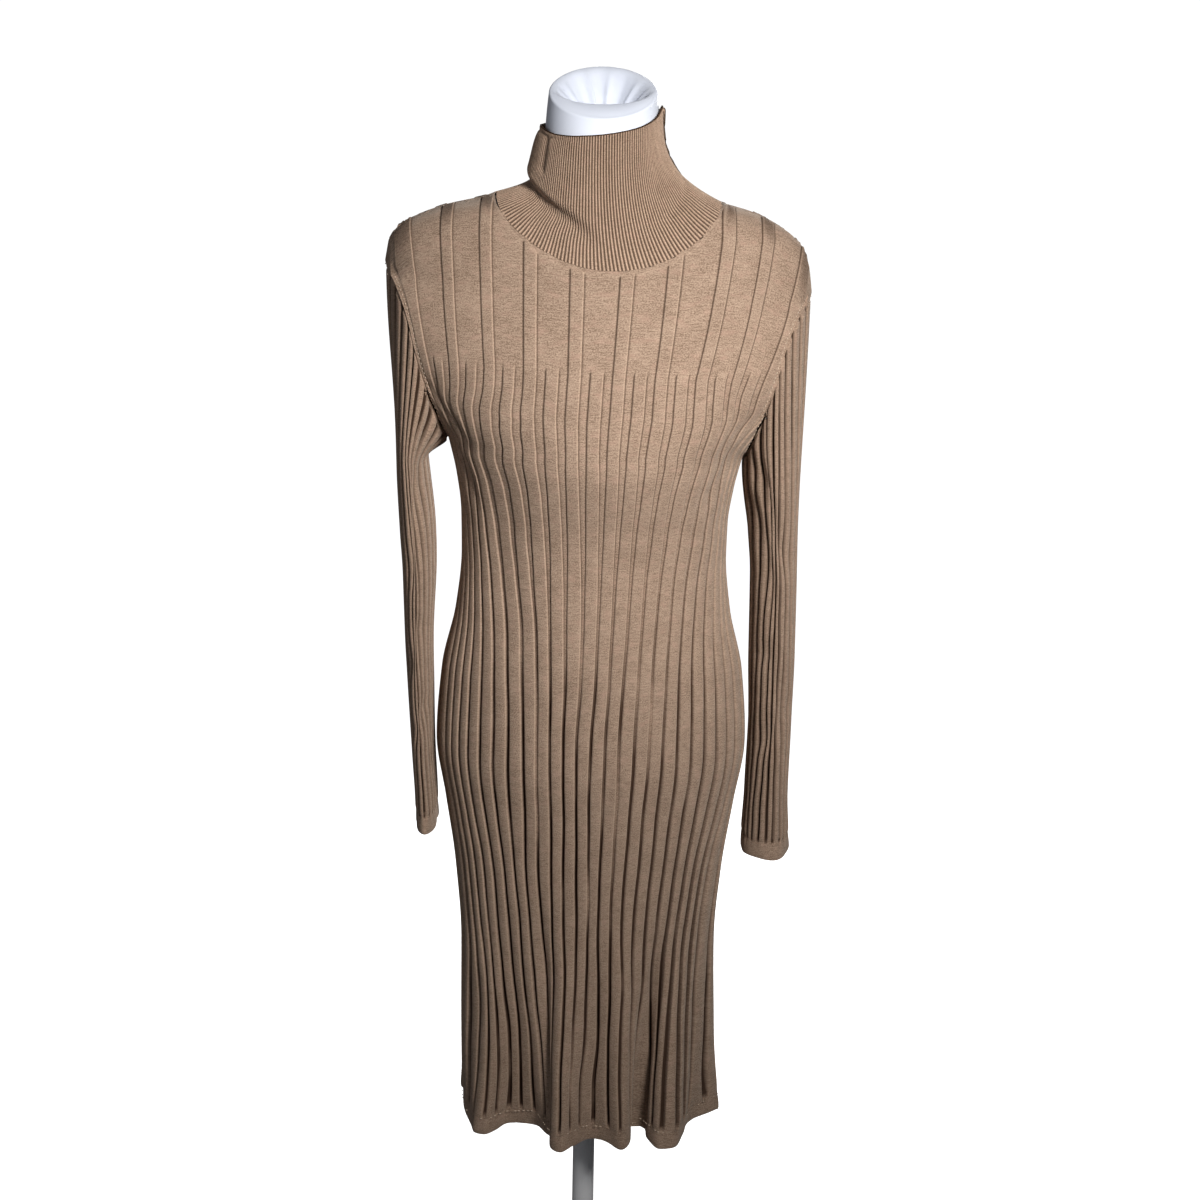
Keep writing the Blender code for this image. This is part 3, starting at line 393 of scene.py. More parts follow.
def unit(vectors):
    """The vectors at length 1."""
    length = np.linalg.norm(vectors, axis=-1, keepdims=True)
    return vectors / np.maximum(length, 1e-12)


GAUSS_NODES, GAUSS_WEIGHTS = np.polynomial.legendre.leggauss(8)
NEWTON_STEPS = 5


def ellipse_arc(angle, across, deep):
    """Length along an ellipse from the middle of its front to the given angle."""
    t = 0.5 * angle[..., None] * (GAUSS_NODES + 1)
    speed = np.hypot(across[..., None] * np.cos(t), deep[..., None] * np.sin(t))
    return 0.5 * angle * (speed @ GAUSS_WEIGHTS)


def angle_at_arc(arc, across, deep):
    """The angle at which ellipse_arc reaches the given length."""
    quarter = ellipse_arc(np.full_like(arc, math.pi / 2), across, deep)
    angle = math.pi / 2 * np.clip(arc / quarter, 0.0, 1.0)
    for _ in range(NEWTON_STEPS):
        speed = np.hypot(across * np.cos(angle), deep * np.sin(angle))
        angle = np.clip(angle - (ellipse_arc(angle, across, deep) - arc) / speed, 0.0, math.pi / 2)
    return angle


WAVE_CURVES = 64


def waves(seed, lengths, weights):
    """Smooth irregular curves over height, one for each number below WAVE_CURVES, within -1 to 1."""
    phases = np.random.default_rng(seed).uniform(0.0, 1.0, (WAVE_CURVES, len(lengths)))

    def read(index, height):
        parts = [weight * np.sin(2 * math.pi * (height / length + phases[index, n]))
                 for n, (length, weight) in enumerate(zip(lengths, weights))]
        return sum(parts)

    return read


# ---- the dress's front and back ----
BODY = read_table(BODY_COLUMNS, BODY_ROWS)
ARMHOLE = read_table(ARMHOLE_COLUMNS, ARMHOLE_ROWS)
RELIEF = read_table(RELIEF_COLUMNS, RELIEF_ROWS)
FACING = {"front": -1, "back": 1}
SHIFT_STEPS = 4             # points of the shifts' table for each rib
SHIFT_HEIGHTS = np.linspace(HEM, YOKE_SPREAD_FROM, 176)
BACK_SHIFT = (0.86, 1.06)   # heights over which the back's shifts set in
YOKE_BOW = 0.35             # how much sooner than evenly the ribs spread above the bust
LEAN_CURVE = 1.5
FLARE_CURVE = 1.5
NECKLINE_CURVE = 0.75
NORMAL_RIB_STEP = 0.12
NORMAL_HEIGHT_STEP = 0.0015
NORMAL_X_STEP = 0.0012
RIB_SAMPLES = 160           # points that measure the way up a rib
CROWDING = 1.5              # how much closer together the points come towards its top


def plan_by_rib(outline):
    """A hem outline as x(rib) and y(rib), its ribs evenly spaced along it."""
    points = np.array(outline)
    lengths = run_along(points)
    ribs = (2 * lengths / lengths[-1] - 1) * HALF_RIBS
    return smooth_curve(ribs, points[:, 0]), smooth_curve(ribs, points[:, 1])


HEM_PLAN = {"front": plan_by_rib(FRONT_HEM), "back": plan_by_rib(BACK_HEM)}


def lean(x, height):
    """How much lower a point lies because the wearer's left shoulder hangs lower than the right."""
    window = ramp(height, LEAN_LOW, LEAN_FULL) * ramp(height, LEAN_END, LEAN_FADE)
    tip = float(BODY["edge_x"](SHOULDER_TIP))
    return LEAN * np.sign(x) * np.abs(x / tip) ** LEAN_CURVE * window


def ellipse_size(panel, height):
    """Half width and depth of the ellipse that a half of the dress follows."""
    deep = BODY[panel](height)
    return BODY["edge_x"](height) / np.sqrt(1 - (BODY[panel + "_edge"](height) / deep) ** 2), deep


def panel_point(panel, rib, height):
    """A point of the dress's smooth outer surface, by panel, rib number and height."""
    rib, height = np.broadcast_arrays(np.asarray(rib, float), np.asarray(height, float))
    across, deep = ellipse_size(panel, height)
    edge_angle = np.arcsin(np.clip(BODY["edge_x"](height) / across, 0, 1))
    spread = BODY["spread"](height)
    edge = BODY["edge_rib"](height) / HALF_RIBS
    part = np.abs(rib) / HALF_RIBS
    share = (spread * part + (1 - spread) * part ** 2) / (spread * edge + (1 - spread) * edge ** 2)
    angle = angle_at_arc(ellipse_arc(edge_angle, across, deep) * share, across, deep)
    x = np.sign(rib) * across * np.sin(angle)
    y = FACING[panel] * deep * np.cos(angle)
    hem_x, hem_y = (read(rib) for read in HEM_PLAN[panel])
    flute = np.clip((FLUTE_TOP - height) / (FLUTE_TOP - HEM), 0.0, 1.0) ** FLUTE_FADE
    stands_out = np.hypot(hem_x, hem_y) - np.hypot(x, y)
    fall = FLUTE_SAG * stands_out * flute + lean(x, height)
    flare = HEM_FLARE * ramp(rib, FLARE_RIB, HALF_RIBS) * ramp(height, FLARE_TOP, HEM) ** FLARE_CURVE
    return np.stack((x + (hem_x - x) * flute + flare, y + (hem_y - y) * flute, height - fall), axis=-1)


def shift_table(rows):
    """The ribs' shifts on a fine grid of ribs and heights."""
    ribs = np.linspace(-HALF_RIBS, HALF_RIBS, int(2 * HALF_RIBS * SHIFT_STEPS) + 1)
    keys = (-HALF_RIBS,) + RIB_SHIFT_RIBS + (HALF_RIBS,)
    across = np.array([smooth_curve(keys, (0.0,) + row[1:] + (0.0,))(ribs) for row in rows])
    levels = [row[0] for row in rows]
    return np.stack([smooth_curve(levels, column)(SHIFT_HEIGHTS) for column in across.T])


SHIFT = {"front": shift_table(RIB_SHIFT_ROWS)}
# The back is stretched alike, and evenly on both sides, from the hips up.
SHIFT["back"] = 0.5 * (SHIFT["front"] - SHIFT["front"][::-1]) * ramp(SHIFT_HEIGHTS, *BACK_SHIFT)
YOKE_SPREAD = {
    "front": smooth_curve(*zip(*YOKE_SPREAD_ROWS)),
    "back": smooth_curve(*zip(*[(rib, 0.5 * (x - mirrored)) for (rib, x), (_, mirrored)
                                in zip(YOKE_SPREAD_ROWS, YOKE_SPREAD_ROWS[::-1])])),
}


def solid_rib(panel, rib, height):
    """Where on the evenly ribbed solid a rib of the hanging dress lies."""
    level = (height - HEM) / (YOKE_SPREAD_FROM - HEM) * (len(SHIFT_HEIGHTS) - 1)
    shift = read_grid(SHIFT[panel], (rib + HALF_RIBS) * SHIFT_STEPS, level)
    room = np.clip((BODY["edge_rib"](height) - np.abs(rib)) / 2.0, 0.0, 1.0)
    return rib + shift * room


def yoke_x(panel, rib, height):
    """Distance of a rib from the middle above the bust."""
    inner = np.clip(rib, -OUTER_RIB, OUTER_RIB)
    low = panel_point(panel, solid_rib(panel, inner, YOKE_SPREAD_FROM), YOKE_SPREAD_FROM)[..., 0]
    high = YOKE_SPREAD[panel](inner)
    part = np.clip((height - YOKE_SPREAD_FROM) / (YOKE_SPREAD_TO - YOKE_SPREAD_FROM), 0.0, 1.0)
    x = low + (high - low) * part * (1 + YOKE_BOW * (1 - part))
    edge = np.sign(rib) * BODY["edge_x"](np.minimum(height, SHOULDER_TIP))
    return x + (edge - x) * np.clip((np.abs(rib) - OUTER_RIB) / (ARMHOLE_RIB - OUTER_RIB), 0.0, 1.0)


def point_at_x(panel, x, height):
    """A point of the smooth surface above the skirt's flutes, by its distance from the middle."""
    across, deep = ellipse_size(panel, height)
    part = np.clip(x / across, -1.0, 1.0)
    x = part * across
    y = FACING[panel] * deep * np.sqrt(1 - part ** 2)
    return np.stack((x, y, height - lean(x, height)), axis=-1)


def dress_point(panel, rib, height):
    """A point of the smooth surface by the hanging dress's own ribs."""
    rib, height = np.broadcast_arrays(np.asarray(rib, float), np.asarray(height, float))
    below = panel_point(panel, solid_rib(panel, rib, height), np.minimum(height, YOKE_SPREAD_FROM))
    above = point_at_x(panel, yoke_x(panel, rib, np.maximum(height, YOKE_SPREAD_FROM)), height)
    return np.where((height > YOKE_SPREAD_FROM)[..., None], above, below)


def surface_normal(panel, point, place, step, height):
    """Outward normal of the surface that point gives by a place across it and a height."""
    along = point(panel, place + step, height) - point(panel, place - step, height)
    up = point(panel, place, height + NORMAL_HEIGHT_STEP) - point(panel, place, height - NORMAL_HEIGHT_STEP)
    return unit(np.cross(along, up)) * -FACING[panel]


def panel_normal(panel, rib, height):
    """Outward normal of the smooth surface by the solid's ribs."""
    return surface_normal(panel, panel_point, rib, NORMAL_RIB_STEP, height)


def dress_normal(panel, rib, height, points):
    """Outward normal of the smooth surface at points given by the hanging dress's ribs."""
    rib, height = np.broadcast_arrays(rib, height)
    edge = BODY["edge_rib"](np.minimum(height, SHOULDER_TIP)) - 0.15
    solid = np.clip(solid_rib(panel, rib, height), -edge, edge)
    below = panel_normal(panel, solid, np.minimum(height, YOKE_SPREAD_FROM))
    limit = BODY["edge_x"](height) - 2.5 * NORMAL_X_STEP
    x = np.clip(points[..., 0], -limit, limit)
    above = surface_normal(panel, point_at_x, x, NORMAL_X_STEP, height)
    return np.where((height > YOKE_SPREAD_FROM)[..., None], above, below)


TOP_HEIGHTS = np.linspace(SHOULDER_TIP, 1.4555, 3000)
TOP_EDGES = BODY["edge_x"](TOP_HEIGHTS)
PAST_TIP = slice(500, None)  # the part of them where the shoulder only narrows
NECK_MIDDLE = 0.5 * (NECK_CORNERS[0] + NECK_CORNERS[1])
NECK_HALF = 0.5 * (NECK_CORNERS[1] - NECK_CORNERS[0])


def shoulder_height(x):
    """Height of the shoulder's seam, by distance from the middle."""
    return np.interp(-np.abs(x), -TOP_EDGES[PAST_TIP], TOP_HEIGHTS[PAST_TIP])


CORNER_HEIGHTS = shoulder_height(NECK_CORNERS)


def neckline_height(panel, x):
    """Height of the neckline seam, by distance from the middle."""
    part = np.clip((x - NECK_MIDDLE) / NECK_HALF, -1.0, 1.0)
    corner = 0.5 * (CORNER_HEIGHTS[0] * (1 - part) + CORNER_HEIGHTS[1] * (1 + part))
    return corner - NECKLINE_DROP[panel] * (1 - part ** 2) ** NECKLINE_CURVE


def rib_top(panel, rib):
    """Height at which ribs above the fork end, and whether they end at the neckline."""
    x = yoke_x(panel, rib[:, None], TOP_HEIGHTS[None, :])
    over_shoulder = np.abs(x) >= TOP_EDGES[None, :] - 1e-9
    in_neck = (x > NECK_CORNERS[0]) & (x < NECK_CORNERS[1])
    over_neckline = in_neck & (TOP_HEIGHTS[None, :] >= neckline_height(panel, x))
    shoulder, neckline = (np.where(over.any(axis=1), np.argmax(over, axis=1), len(TOP_HEIGHTS))
                          for over in (over_shoulder, over_neckline))
    first = np.minimum(np.minimum(neckline, shoulder), len(TOP_HEIGHTS) - 1)
    return TOP_HEIGHTS[first], neckline < shoulder


def heights_up_rib(panel, rib, low, high, even):
    """Heights along each rib from low to high, at even shares of the way, crowded to the top."""
    t = np.linspace(0.0, 1.0, RIB_SAMPLES)
    heights = low + (high[:, None] - low) * (1 - (1 - t) ** 2)
    way = run_along(dress_point(panel, rib[:, None], heights))
    wanted = 1 - (1 - even) ** CROWDING
    return np.stack([np.interp(way[i, -1] * wanted, way[i], heights[i]) for i in range(len(rib))])


# ---- relief of the ribs ----
GROOVE_SWAY = waves(11, (0.34, 0.19, 0.083), (0.5, 0.32, 0.18))
GROOVE_DEPTH = waves(23, (0.41, 0.16, 0.07), (0.5, 0.3, 0.2))
BACK_WAVES = 31             # the back's grooves take their waves from this number on
LOOSE_KNIT = (1.12, 0.87)   # heights over which the grooves' depth comes to vary, going down
GROOVE_VARIETY = 0.36
SIDE_CURVE = 1.4            # how late the side seams' relief takes over from the centre's
PITCH_HEIGHTS = np.linspace(HEM, SHOULDER_NECK, 90)
PITCH_REACH = 0.45          # ribs to either side over which a rib's pitch is measured
RIB_METRES = 0.0135         # a rib's pitch as the creases' slopes and widths take it
LEAST_PITCH = 0.004
STATIONS = named_rows(STATION_COLUMNS, RIB_STATIONS)


def pitch_table(panel):
    """Metres from one rib to the next, by rib and height."""
    ribs = np.arange(-SEAM_RIB, SEAM_RIB + 1)[:, None]
    ends = [dress_point(panel, ribs + half, PITCH_HEIGHTS[None, :])
            for half in (-PITCH_REACH, PITCH_REACH)]
    return np.linalg.norm(ends[1] - ends[0], axis=-1) / (2 * PITCH_REACH)


def groove_number(panel, groove):
    """The number of a groove's waves."""
    return np.round(groove + HALF_RIBS).astype(int) + (BACK_WAVES if panel == "back" else 0)


def toward_side(low, high, part):
    """From the value on the centre line to that at the side seam."""
    side = np.clip(part, 0.0, 1.0) ** SIDE_CURVE
    return low * (1 - side) + high * side


def groove_facts(panel, groove, height):
    """Sideways sway in ribs, and depth, of the grooves."""
    number = groove_number(panel, groove)
    depth = toward_side(RELIEF["depth"](height), RELIEF["side_depth"](height), np.abs(groove) / HALF_RIBS)
    depth = depth * (1 + GROOVE_VARIETY * ramp(height, *LOOSE_KNIT) * GROOVE_DEPTH(number, height))
    for row in named_rows(SOFT_COLUMNS, SOFT_ROWS[panel]):
        near = hill(height, row["height"], row["half"]) * (np.abs(groove - row["groove"]) < 0.1)
        depth = depth * (1 - row["lost"] * near)
    on_seam = np.abs(groove) > HALF_RIBS - 0.1
    return np.where(on_seam, 0.0, RELIEF["wander"](height) * GROOVE_SWAY(number, height)), depth


def yoke_line(panel, x):
    """Height at which the even ribs start."""
    return YOKE_LINE[panel] - YOKE_TILT * x


def creases(rows, across, height, across_scale, width_scale):
    """How far the cloth lies in from its smooth surface because of its creases."""
    total = 0.0
    for row in named_rows(CREASE_COLUMNS, rows):
        start = np.array((row["start"] * across_scale, row["height"]))
        way = np.array((row["end"] * across_scale, row["to_height"])) - start
        length = np.linalg.norm(way)
        way = way / length
        from_x = across * across_scale - start[0]
        from_z = height - start[1]
        along = (from_x * way[0] + from_z * way[1]) / length
        off = -from_x * way[1] + from_z * way[0]
        fade = ramp(along, -0.25, 0.15) * ramp(along, 1.25, 0.75)
        total = total + row["depth"] * hill(off, 0.0, row["width"] * width_scale) * fade
    return total


def panel_creases(panel, rib, height):
    """The creases of the front or back."""
    return creases(CREASE_ROWS[panel], rib, height, RIB_METRES, RIB_METRES)


def rib_columns(ribs, before=()):
    """The rib of each column of points, and its station's values as upright arrays."""
    columns = list(before) + [(rib, row) for rib in ribs for row in STATIONS]
    station = {key: np.array([row[key] for _, row in columns])[:, None] for key in STATIONS[0]}
    return np.array([rib for rib, _ in columns]), station


def place_in_rib(station, half, pitch, most_back=np.inf):
    """Place of the columns across their rib, in ribs from its middle."""
    reach = station["band"] * half + station["channel"] * (0.5 - half)
    return station["side"] * (reach - np.minimum(station["back"], most_back) / pitch)


def across_rib(low, high, local):
    """A value that drifts from the groove before a rib to the groove after it."""
    return low * (0.5 - local) + high * (0.5 + local)


# ---- meshes ----


def place_object(name, data):
    """An object of the data in the scene."""
    made = bpy.data.objects.new(name, data)
    bpy.context.scene.collection.objects.link(made)
    return made


def list_mesh(name, points, faces):
    """A smooth-shaded mesh from its points and faces."""
    mesh = bpy.data.meshes.new(name)
    mesh.from_pydata(np.asarray(points).tolist(), [], faces)
    mesh.validate()
    mesh.shade_smooth()
    return mesh


def grid_faces(exists, closed=False):
    """Corner numbers of a grid's cells over the points that exist, and each cell's column."""
    columns, rows = exists.shape
    number = np.arange(columns * rows).reshape(columns, rows)
    i = np.arange(columns if closed else columns - 1)
    k = (i + 1) % columns
    there = exists[i][:, :-1] & exists[k][:, :-1] & exists[k][:, 1:] & exists[i][:, 1:]
    corners = (number[i][:, :-1], number[k][:, :-1], number[k][:, 1:], number[i][:, 1:])
    column = np.broadcast_to(i[:, None], there.shape)[there]
    return np.stack([corner[there] for corner in corners], axis=-1), column


def rim_edges(faces):
    """Edges of faces that have no neighbour, in the faces' own direction."""
    edges = np.concatenate([faces[:, [a, (a + 1) % 4]] for a in range(4)])
    span = edges.max() + 1
    forward = edges[:, 0] * span + edges[:, 1]
    backward = edges[:, 1] * span + edges[:, 0]
    return edges[~np.isin(forward, backward)]


def quad_object(name, points, faces, uv, marks, sharp):
    """A smooth-shaded object from quads; uv is by face corner, marks are numbers by point."""
    mesh = bpy.data.meshes.new(name)
    mesh.vertices.add(len(points))
    mesh.vertices.foreach_set("co", np.asarray(points, np.float32).ravel())
    mesh.loops.add(faces.size)
    mesh.loops.foreach_set("vertex_index", faces.astype(np.int32).ravel())
    mesh.polygons.add(len(faces))
    mesh.polygons.foreach_set("loop_start", np.arange(0, faces.size, 4, dtype=np.int32))
    mesh.polygons.foreach_set("loop_total", np.full(len(faces), 4, np.int32))
    mesh.update(calc_edges=True)
    mesh.uv_layers.new(name="knit").data.foreach_set("uv", np.asarray(uv, np.float32).ravel())
    for key, values in marks.items():
        attribute = mesh.attributes.new(key, "FLOAT", "POINT")
        attribute.data.foreach_set("value", np.asarray(values, np.float32).ravel())
    mesh.validate()
    mesh.shade_smooth()
    ends = np.empty(2 * len(mesh.edges), np.int64)
    mesh.edges.foreach_get("vertices", ends)
    span = len(points)
    keys = [np.minimum(a, b) * span + np.maximum(a, b) for a, b in (ends.reshape(-1, 2).T, sharp.T)]
    layer = mesh.attributes.new("sharp_edge", "BOOLEAN", "EDGE")
    layer.data.foreach_set("value", np.isin(keys[0], keys[1]))
    return place_object(name, mesh)


def cloth_object(name, points, normals, lift, thickness, across, up, marks, exists=None, shape=None,
                 closed=False, flip=False, wrap=0.0):
    """A closed cloth wall whose outside lies lift off the points; shape may still change its layers."""
    outer = points + normals * lift[..., None]
    inner = outer - normals * thickness
    if shape:
        shape(outer, inner)
    exists = np.ones(lift.shape, bool) if exists is None else exists
    uv_flat = np.stack(np.broadcast_arrays(across, up / COURSE), axis=-1).reshape(-1, 2)
    faces, column = grid_faces(exists, closed)
    corner_uv = uv_flat[faces]
    if closed:
        corner_uv[column == exists.shape[0] - 1, 1:3, 0] += wrap
    if flip:
        faces = faces[:, ::-1]
        corner_uv = corner_uv[:, ::-1]
    rim = rim_edges(faces)
    count = exists.size
    strips = np.stack((rim[:, 1], rim[:, 0], rim[:, 0] + count, rim[:, 1] + count), axis=-1)
    all_faces = np.concatenate((faces, faces[:, ::-1] + count, strips))
    all_uv = np.concatenate((corner_uv, corner_uv[:, ::-1], uv_flat[strips % count]))
    all_points = np.concatenate((outer.reshape(-1, 3), inner.reshape(-1, 3)))
    used = np.zeros(len(all_points), bool)
    used[all_faces.ravel()] = True
    number = np.cumsum(used) - 1
    doubled = {key: np.tile(values.ravel(), 2)[used] for key, values in marks.items()}
    rims = number[np.concatenate((rim, rim + count))]
    return quad_object(name, all_points[used], number[all_faces], all_uv, doubled, rims)


def roll_edge(outer, inner):
    """Draw the two layers together along a band's lower edge."""
    middle = 0.5 * (outer[:, 0] + inner[:, 0])
    for layer in (outer, inner):
        layer[:, 0] += (middle - layer[:, 0]) * 0.5


def band_groove(place):
    """1 in the grooves between ribs, 0 over most of a rib; place counts ribs from a groove."""
    return (0.5 + 0.5 * np.cos(2 * math.pi * place)) ** 6


def band_object(name, points, normals, lift, across, tall, groove, **options):
    """A hem or cuff band, a little thicker than the knit, with its rolled lower edge."""
    # Painted shade in the grooves that the ribs above press into the band.
    marks = {"rib_top": 0.5 + 0 * lift, "groove": 0.25 * groove * BAND_ROWS ** 2, "ridge": 0 * lift}
    return cloth_object(name, points, normals, lift, BAND_CLOTH, across, tall * BAND_ROWS, marks,
                        shape=roll_edge, **options)


# ---- panels ----
LOW_ROWS = 104              # rows of points from the hem band to the height where the fork begins
LOW_TOP = 1.11
FORK_ROWS = 16              # from there to the armhole's lower curve
YOKE_ROWS = 60              # from there to the shoulder or the neckline
YOKE_START = 0.0045         # height over which an even rib rises to its full height
EDGE_GAP = 0.00006          # half the seam between front and back
CROWN = 0.00025             # how far the middle of a skirt's rib stands over its edges
EDGE_STITCH = 0.00012       # and the stitch along its edge
SLOT_DEPTH = 0.00055        # tight crease at a rib's foot above the waist
SEAM_DEPTH = 0.0003
BAND_DIP = 0.0004           # how deep the knit lies where it meets a band
EDGE_LEVEL = 0.86           # the level of the stations on a rib's edges
GROOVE_SHADE_DEPTHS = (0.0012, 0.0026)  # a groove's painted shade sets in from the first depth on, over the second
NEAR = 0.01                 # ribs closer than this count as one
BAND_SHARE = 0.68           # a rib's band as its points are counted out up the panel
FREE_SHOULDER = 0.2195      # beyond this distance the seam's points stay where their ribs end
TIGHT_KNIT = (0.90, 1.10)   # heights over which the knit closes to tight creases, cut in and painted with shade
SHOULDER_SHADE_REACH = (0.058, 0.024)  # distances below the shoulder seam over which the bands take a painted shade
SKIRT_CROWN = (1.1, 0.8)    # heights over which the skirt's ribs grow round, going down


def panel_grid(panel):
    """The panel's points and what is known of them, by column across it and row up it."""
    rib, station = rib_columns(range(-SEAM_RIB, SEAM_RIB + 1), [(-SEAM_RIB, dict(STATIONS[-1], side=-1))])
    side, band, channel = (station[key][:, 0] for key in ("side", "band", "channel"))
    nominal = rib + side * 0.5 * (channel + BAND_SHARE * (1 - channel)) * band
    nominal = np.where(channel == 1.0, rib + 0.5 * side, nominal)
    in_body = np.abs(nominal) <= ARMHOLE_RIB + 1e-6
    fork = np.where(in_body, FORK, ARMHOLE["height"](np.abs(nominal)))
    body = np.where(in_body, nominal, np.sign(nominal) * ARMHOLE_RIB)
    top, at_neck = rib_top(panel, body)
    low = np.broadcast_to(np.linspace(HEM + HEM_BAND, LOW_TOP, LOW_ROWS), (len(rib), LOW_ROWS))
    middle = LOW_TOP + (fork[:, None] - LOW_TOP) * np.linspace(0.0, 1.0, FORK_ROWS + 1)[1:]
    climb = heights_up_rib(panel, body, FORK, top, np.linspace(0.0, 1.0, YOKE_ROWS + 1))[:, 1:]
    heights = np.concatenate((low, middle, climb), axis=1)
    exists = np.ones(heights.shape, bool)
    exists[~in_body, LOW_ROWS + FORK_ROWS:] = False

    ribs, depth = column_ribs(panel, rib[:, None], station, heights)
    on_edge = (in_body & (np.abs(nominal) > ARMHOLE_RIB - NEAR))[:, None]
    ribs = np.where(on_edge, np.sign(ribs) * ARMHOLE_RIB, ribs)
    ribs = np.where(heights > FORK, np.clip(ribs, -ARMHOLE_RIB, ARMHOLE_RIB), ribs)
    points = dress_point(panel, ribs, heights)
    normals = dress_normal(panel, ribs, heights, points)
    grid = SimpleNamespace(
        rib=rib[:, None], station=station, nominal=nominal, in_body=in_body, at_neck=at_neck,
        ribs=ribs, depth=depth, heights=heights, exists=exists, points=points, normals=normals)
    grid.on_shoulder = lay_seam_row(panel, grid, body, top)
    return grid


def column_ribs(panel, rib, station, height):
    """Rib numbers of the columns' points with the grooves' sway, and the grooves' depth."""
    half = 0.5 * toward_side(RELIEF["band"](height), RELIEF["side_band"](height), np.abs(rib) / SEAM_RIB)
    level = np.interp(height, PITCH_HEIGHTS, np.arange(len(PITCH_HEIGHTS)))
    pitch = np.maximum(read_grid(pitch_table(panel), rib + SEAM_RIB, level), LEAST_PITCH)
    local = place_in_rib(station, half, pitch)
    sway_low, depth_low = groove_facts(panel, rib - 0.5, height)
    sway_high, depth_high = groove_facts(panel, rib + 0.5, height)
    depth = np.where(local < 0, depth_low, depth_high)
    depth = np.where(station["side"] == 0, 0.5 * (depth_low + depth_high), depth)
    return rib + local + across_rib(sway_low, sway_high, local), depth


def lay_seam_row(panel, grid, body, top):
    """Put the top row on the seams; the columns nearest to the neckline's ends reach them."""
    on_shoulder = grid.in_body & ~grid.at_neck
    top_x = yoke_x(panel, body, top)
    nearest = [int(np.argmin(np.where(grid.in_body, np.abs(top_x - x), np.inf))) for x in NECK_CORNERS]
    top_x[nearest] = NECK_CORNERS
    top_z = np.where(grid.at_neck, neckline_height(panel, top_x), shoulder_height(top_x))
    top_z[nearest] = CORNER_HEIGHTS
    top_z = np.where(np.abs(np.abs(grid.nominal) - ARMHOLE_RIB) < NEAR, SHOULDER_TIP, top_z)
    top_z = np.where(on_shoulder & (np.abs(top_x) > FREE_SHOULDER), top, top_z)
    grid.points[grid.in_body, -1] = point_at_x(panel, top_x, top_z)[grid.in_body]
    on_shoulder[nearest] = True
    grid.points[on_shoulder, -1, 1] = 0.0
    return on_shoulder


def make_panel(panel):
    """Front or back of the dress, with every rib."""
    grid = panel_grid(panel)
    rib, station, heights, depth = grid.rib, grid.station, grid.heights, grid.depth
    in_body, at_neck = grid.in_body[:, None], grid.at_neck[:, None]
    up = run_along(grid.points)
    last = np.where(in_body, heights.shape[1] - 1, LOW_ROWS + FORK_ROWS - 1)
    to_top = np.take_along_axis(up, last, axis=1) - up
    to_armhole = np.where(in_body & (heights > FORK - 0.02), (ARMHOLE_RIB - np.abs(grid.ribs)) / 0.2, 1.0)

    # Where the ribs stand up: not above the yoke line on even ones, nor along the seams.
    line = yoke_line(panel, grid.points[..., 0])
    stops = (rib % 2 == 0) & (np.abs(rib) <= OUTER_RIB)
    rise = np.where(stops, ease((line - grid.points[..., 2]) / YOKE_START), 1.0)
    strip = np.where(at_neck, LINK_STRIP, SEAM_STRIP)
    rise = rise * ease((to_top - strip) / 0.0016 + 0.5) * ramp(up, 0.0005, 0.0065)
    level = station["level"] * rise
    # The tight crease at a band's foot is cut in and also painted with shade.
    slot = station["slot"] * rise * (np.abs(grid.nominal) < 9.2)[:, None]
    # The raised stitch along a band's edge also carries a painted highlight.
    ridge = station["ridge"] * rise
    crown = (station["side"] == 0) * rise * ramp(heights, *SKIRT_CROWN)
    tight = ramp(heights, *TIGHT_KNIT)
    lift = RIB_RISE * level - depth * (1 - level) + CROWN * crown + EDGE_STITCH * ridge
    lift = lift - SLOT_DEPTH * slot * tight - SEAM_DEPTH * hill(to_top, 0.0, 0.0018)
    # The floor of the channels rises to the band at the hem and to the seams.
    flat = ramp(up, 0.0002, 0.0102)
    lift = lift * flat - (1 - flat) * BAND_DIP
    lift = lift * ease(to_armhole) + (1 - ease(to_armhole)) * RIB_RISE
    lift = lift - panel_creases(panel, grid.ribs, heights) * ease(to_armhole) * ease(to_top / 0.02)

    # The bands are painted darker just under the shoulder seam, a painted shade, and a lighter
    # stitch line edges the neckline's strip.
    shoulder_shade = (rib % 2 == 1) * level * grid.on_shoulder[:, None] * ramp(to_top, *SHOULDER_SHADE_REACH)
    stitch_line = at_neck * hill(to_top, LINK_STRIP, 0.0009)
    # Painted shade along the bands' edges in the skirt on the wearer's left.
    on_left = ease((rib - 4) / 6) * (rib < 12)
    edge = (station["level"] == EDGE_LEVEL) * rise * on_left * ramp(heights, 0.95, 0.65)
    # Painted shade: deep channels are painted darker by their depth.
    deep = (1 - station["level"]) * rise * np.maximum(depth - GROOVE_SHADE_DEPTHS[0], 0) / GROOVE_SHADE_DEPTHS[1]
    marks = {
        "rib_top": np.clip(level, 0, 1),
        "groove": np.clip(deep + slot * tight + 0.55 * shoulder_shade + 0.45 * edge, 0, 1),
        # Painted highlight along the raised stitches, and the lighter stitch line by the neckline.
        "ridge": np.clip(ridge * (1 - edge) + 0.7 * stitch_line, 0, 1),
    }

    def close_seams(outer, inner):
        for layer in (outer, inner):
            layer[[0, -1], :, 1] += FACING[panel] * EDGE_GAP
            layer[grid.on_shoulder, -1, 1] = FACING[panel] * EDGE_GAP

    return cloth_object("dress_" + panel, grid.points, grid.normals, lift, CLOTH, grid.ribs * STITCH_WALES,
                        up, marks, grid.exists, close_seams, flip=panel == "back")


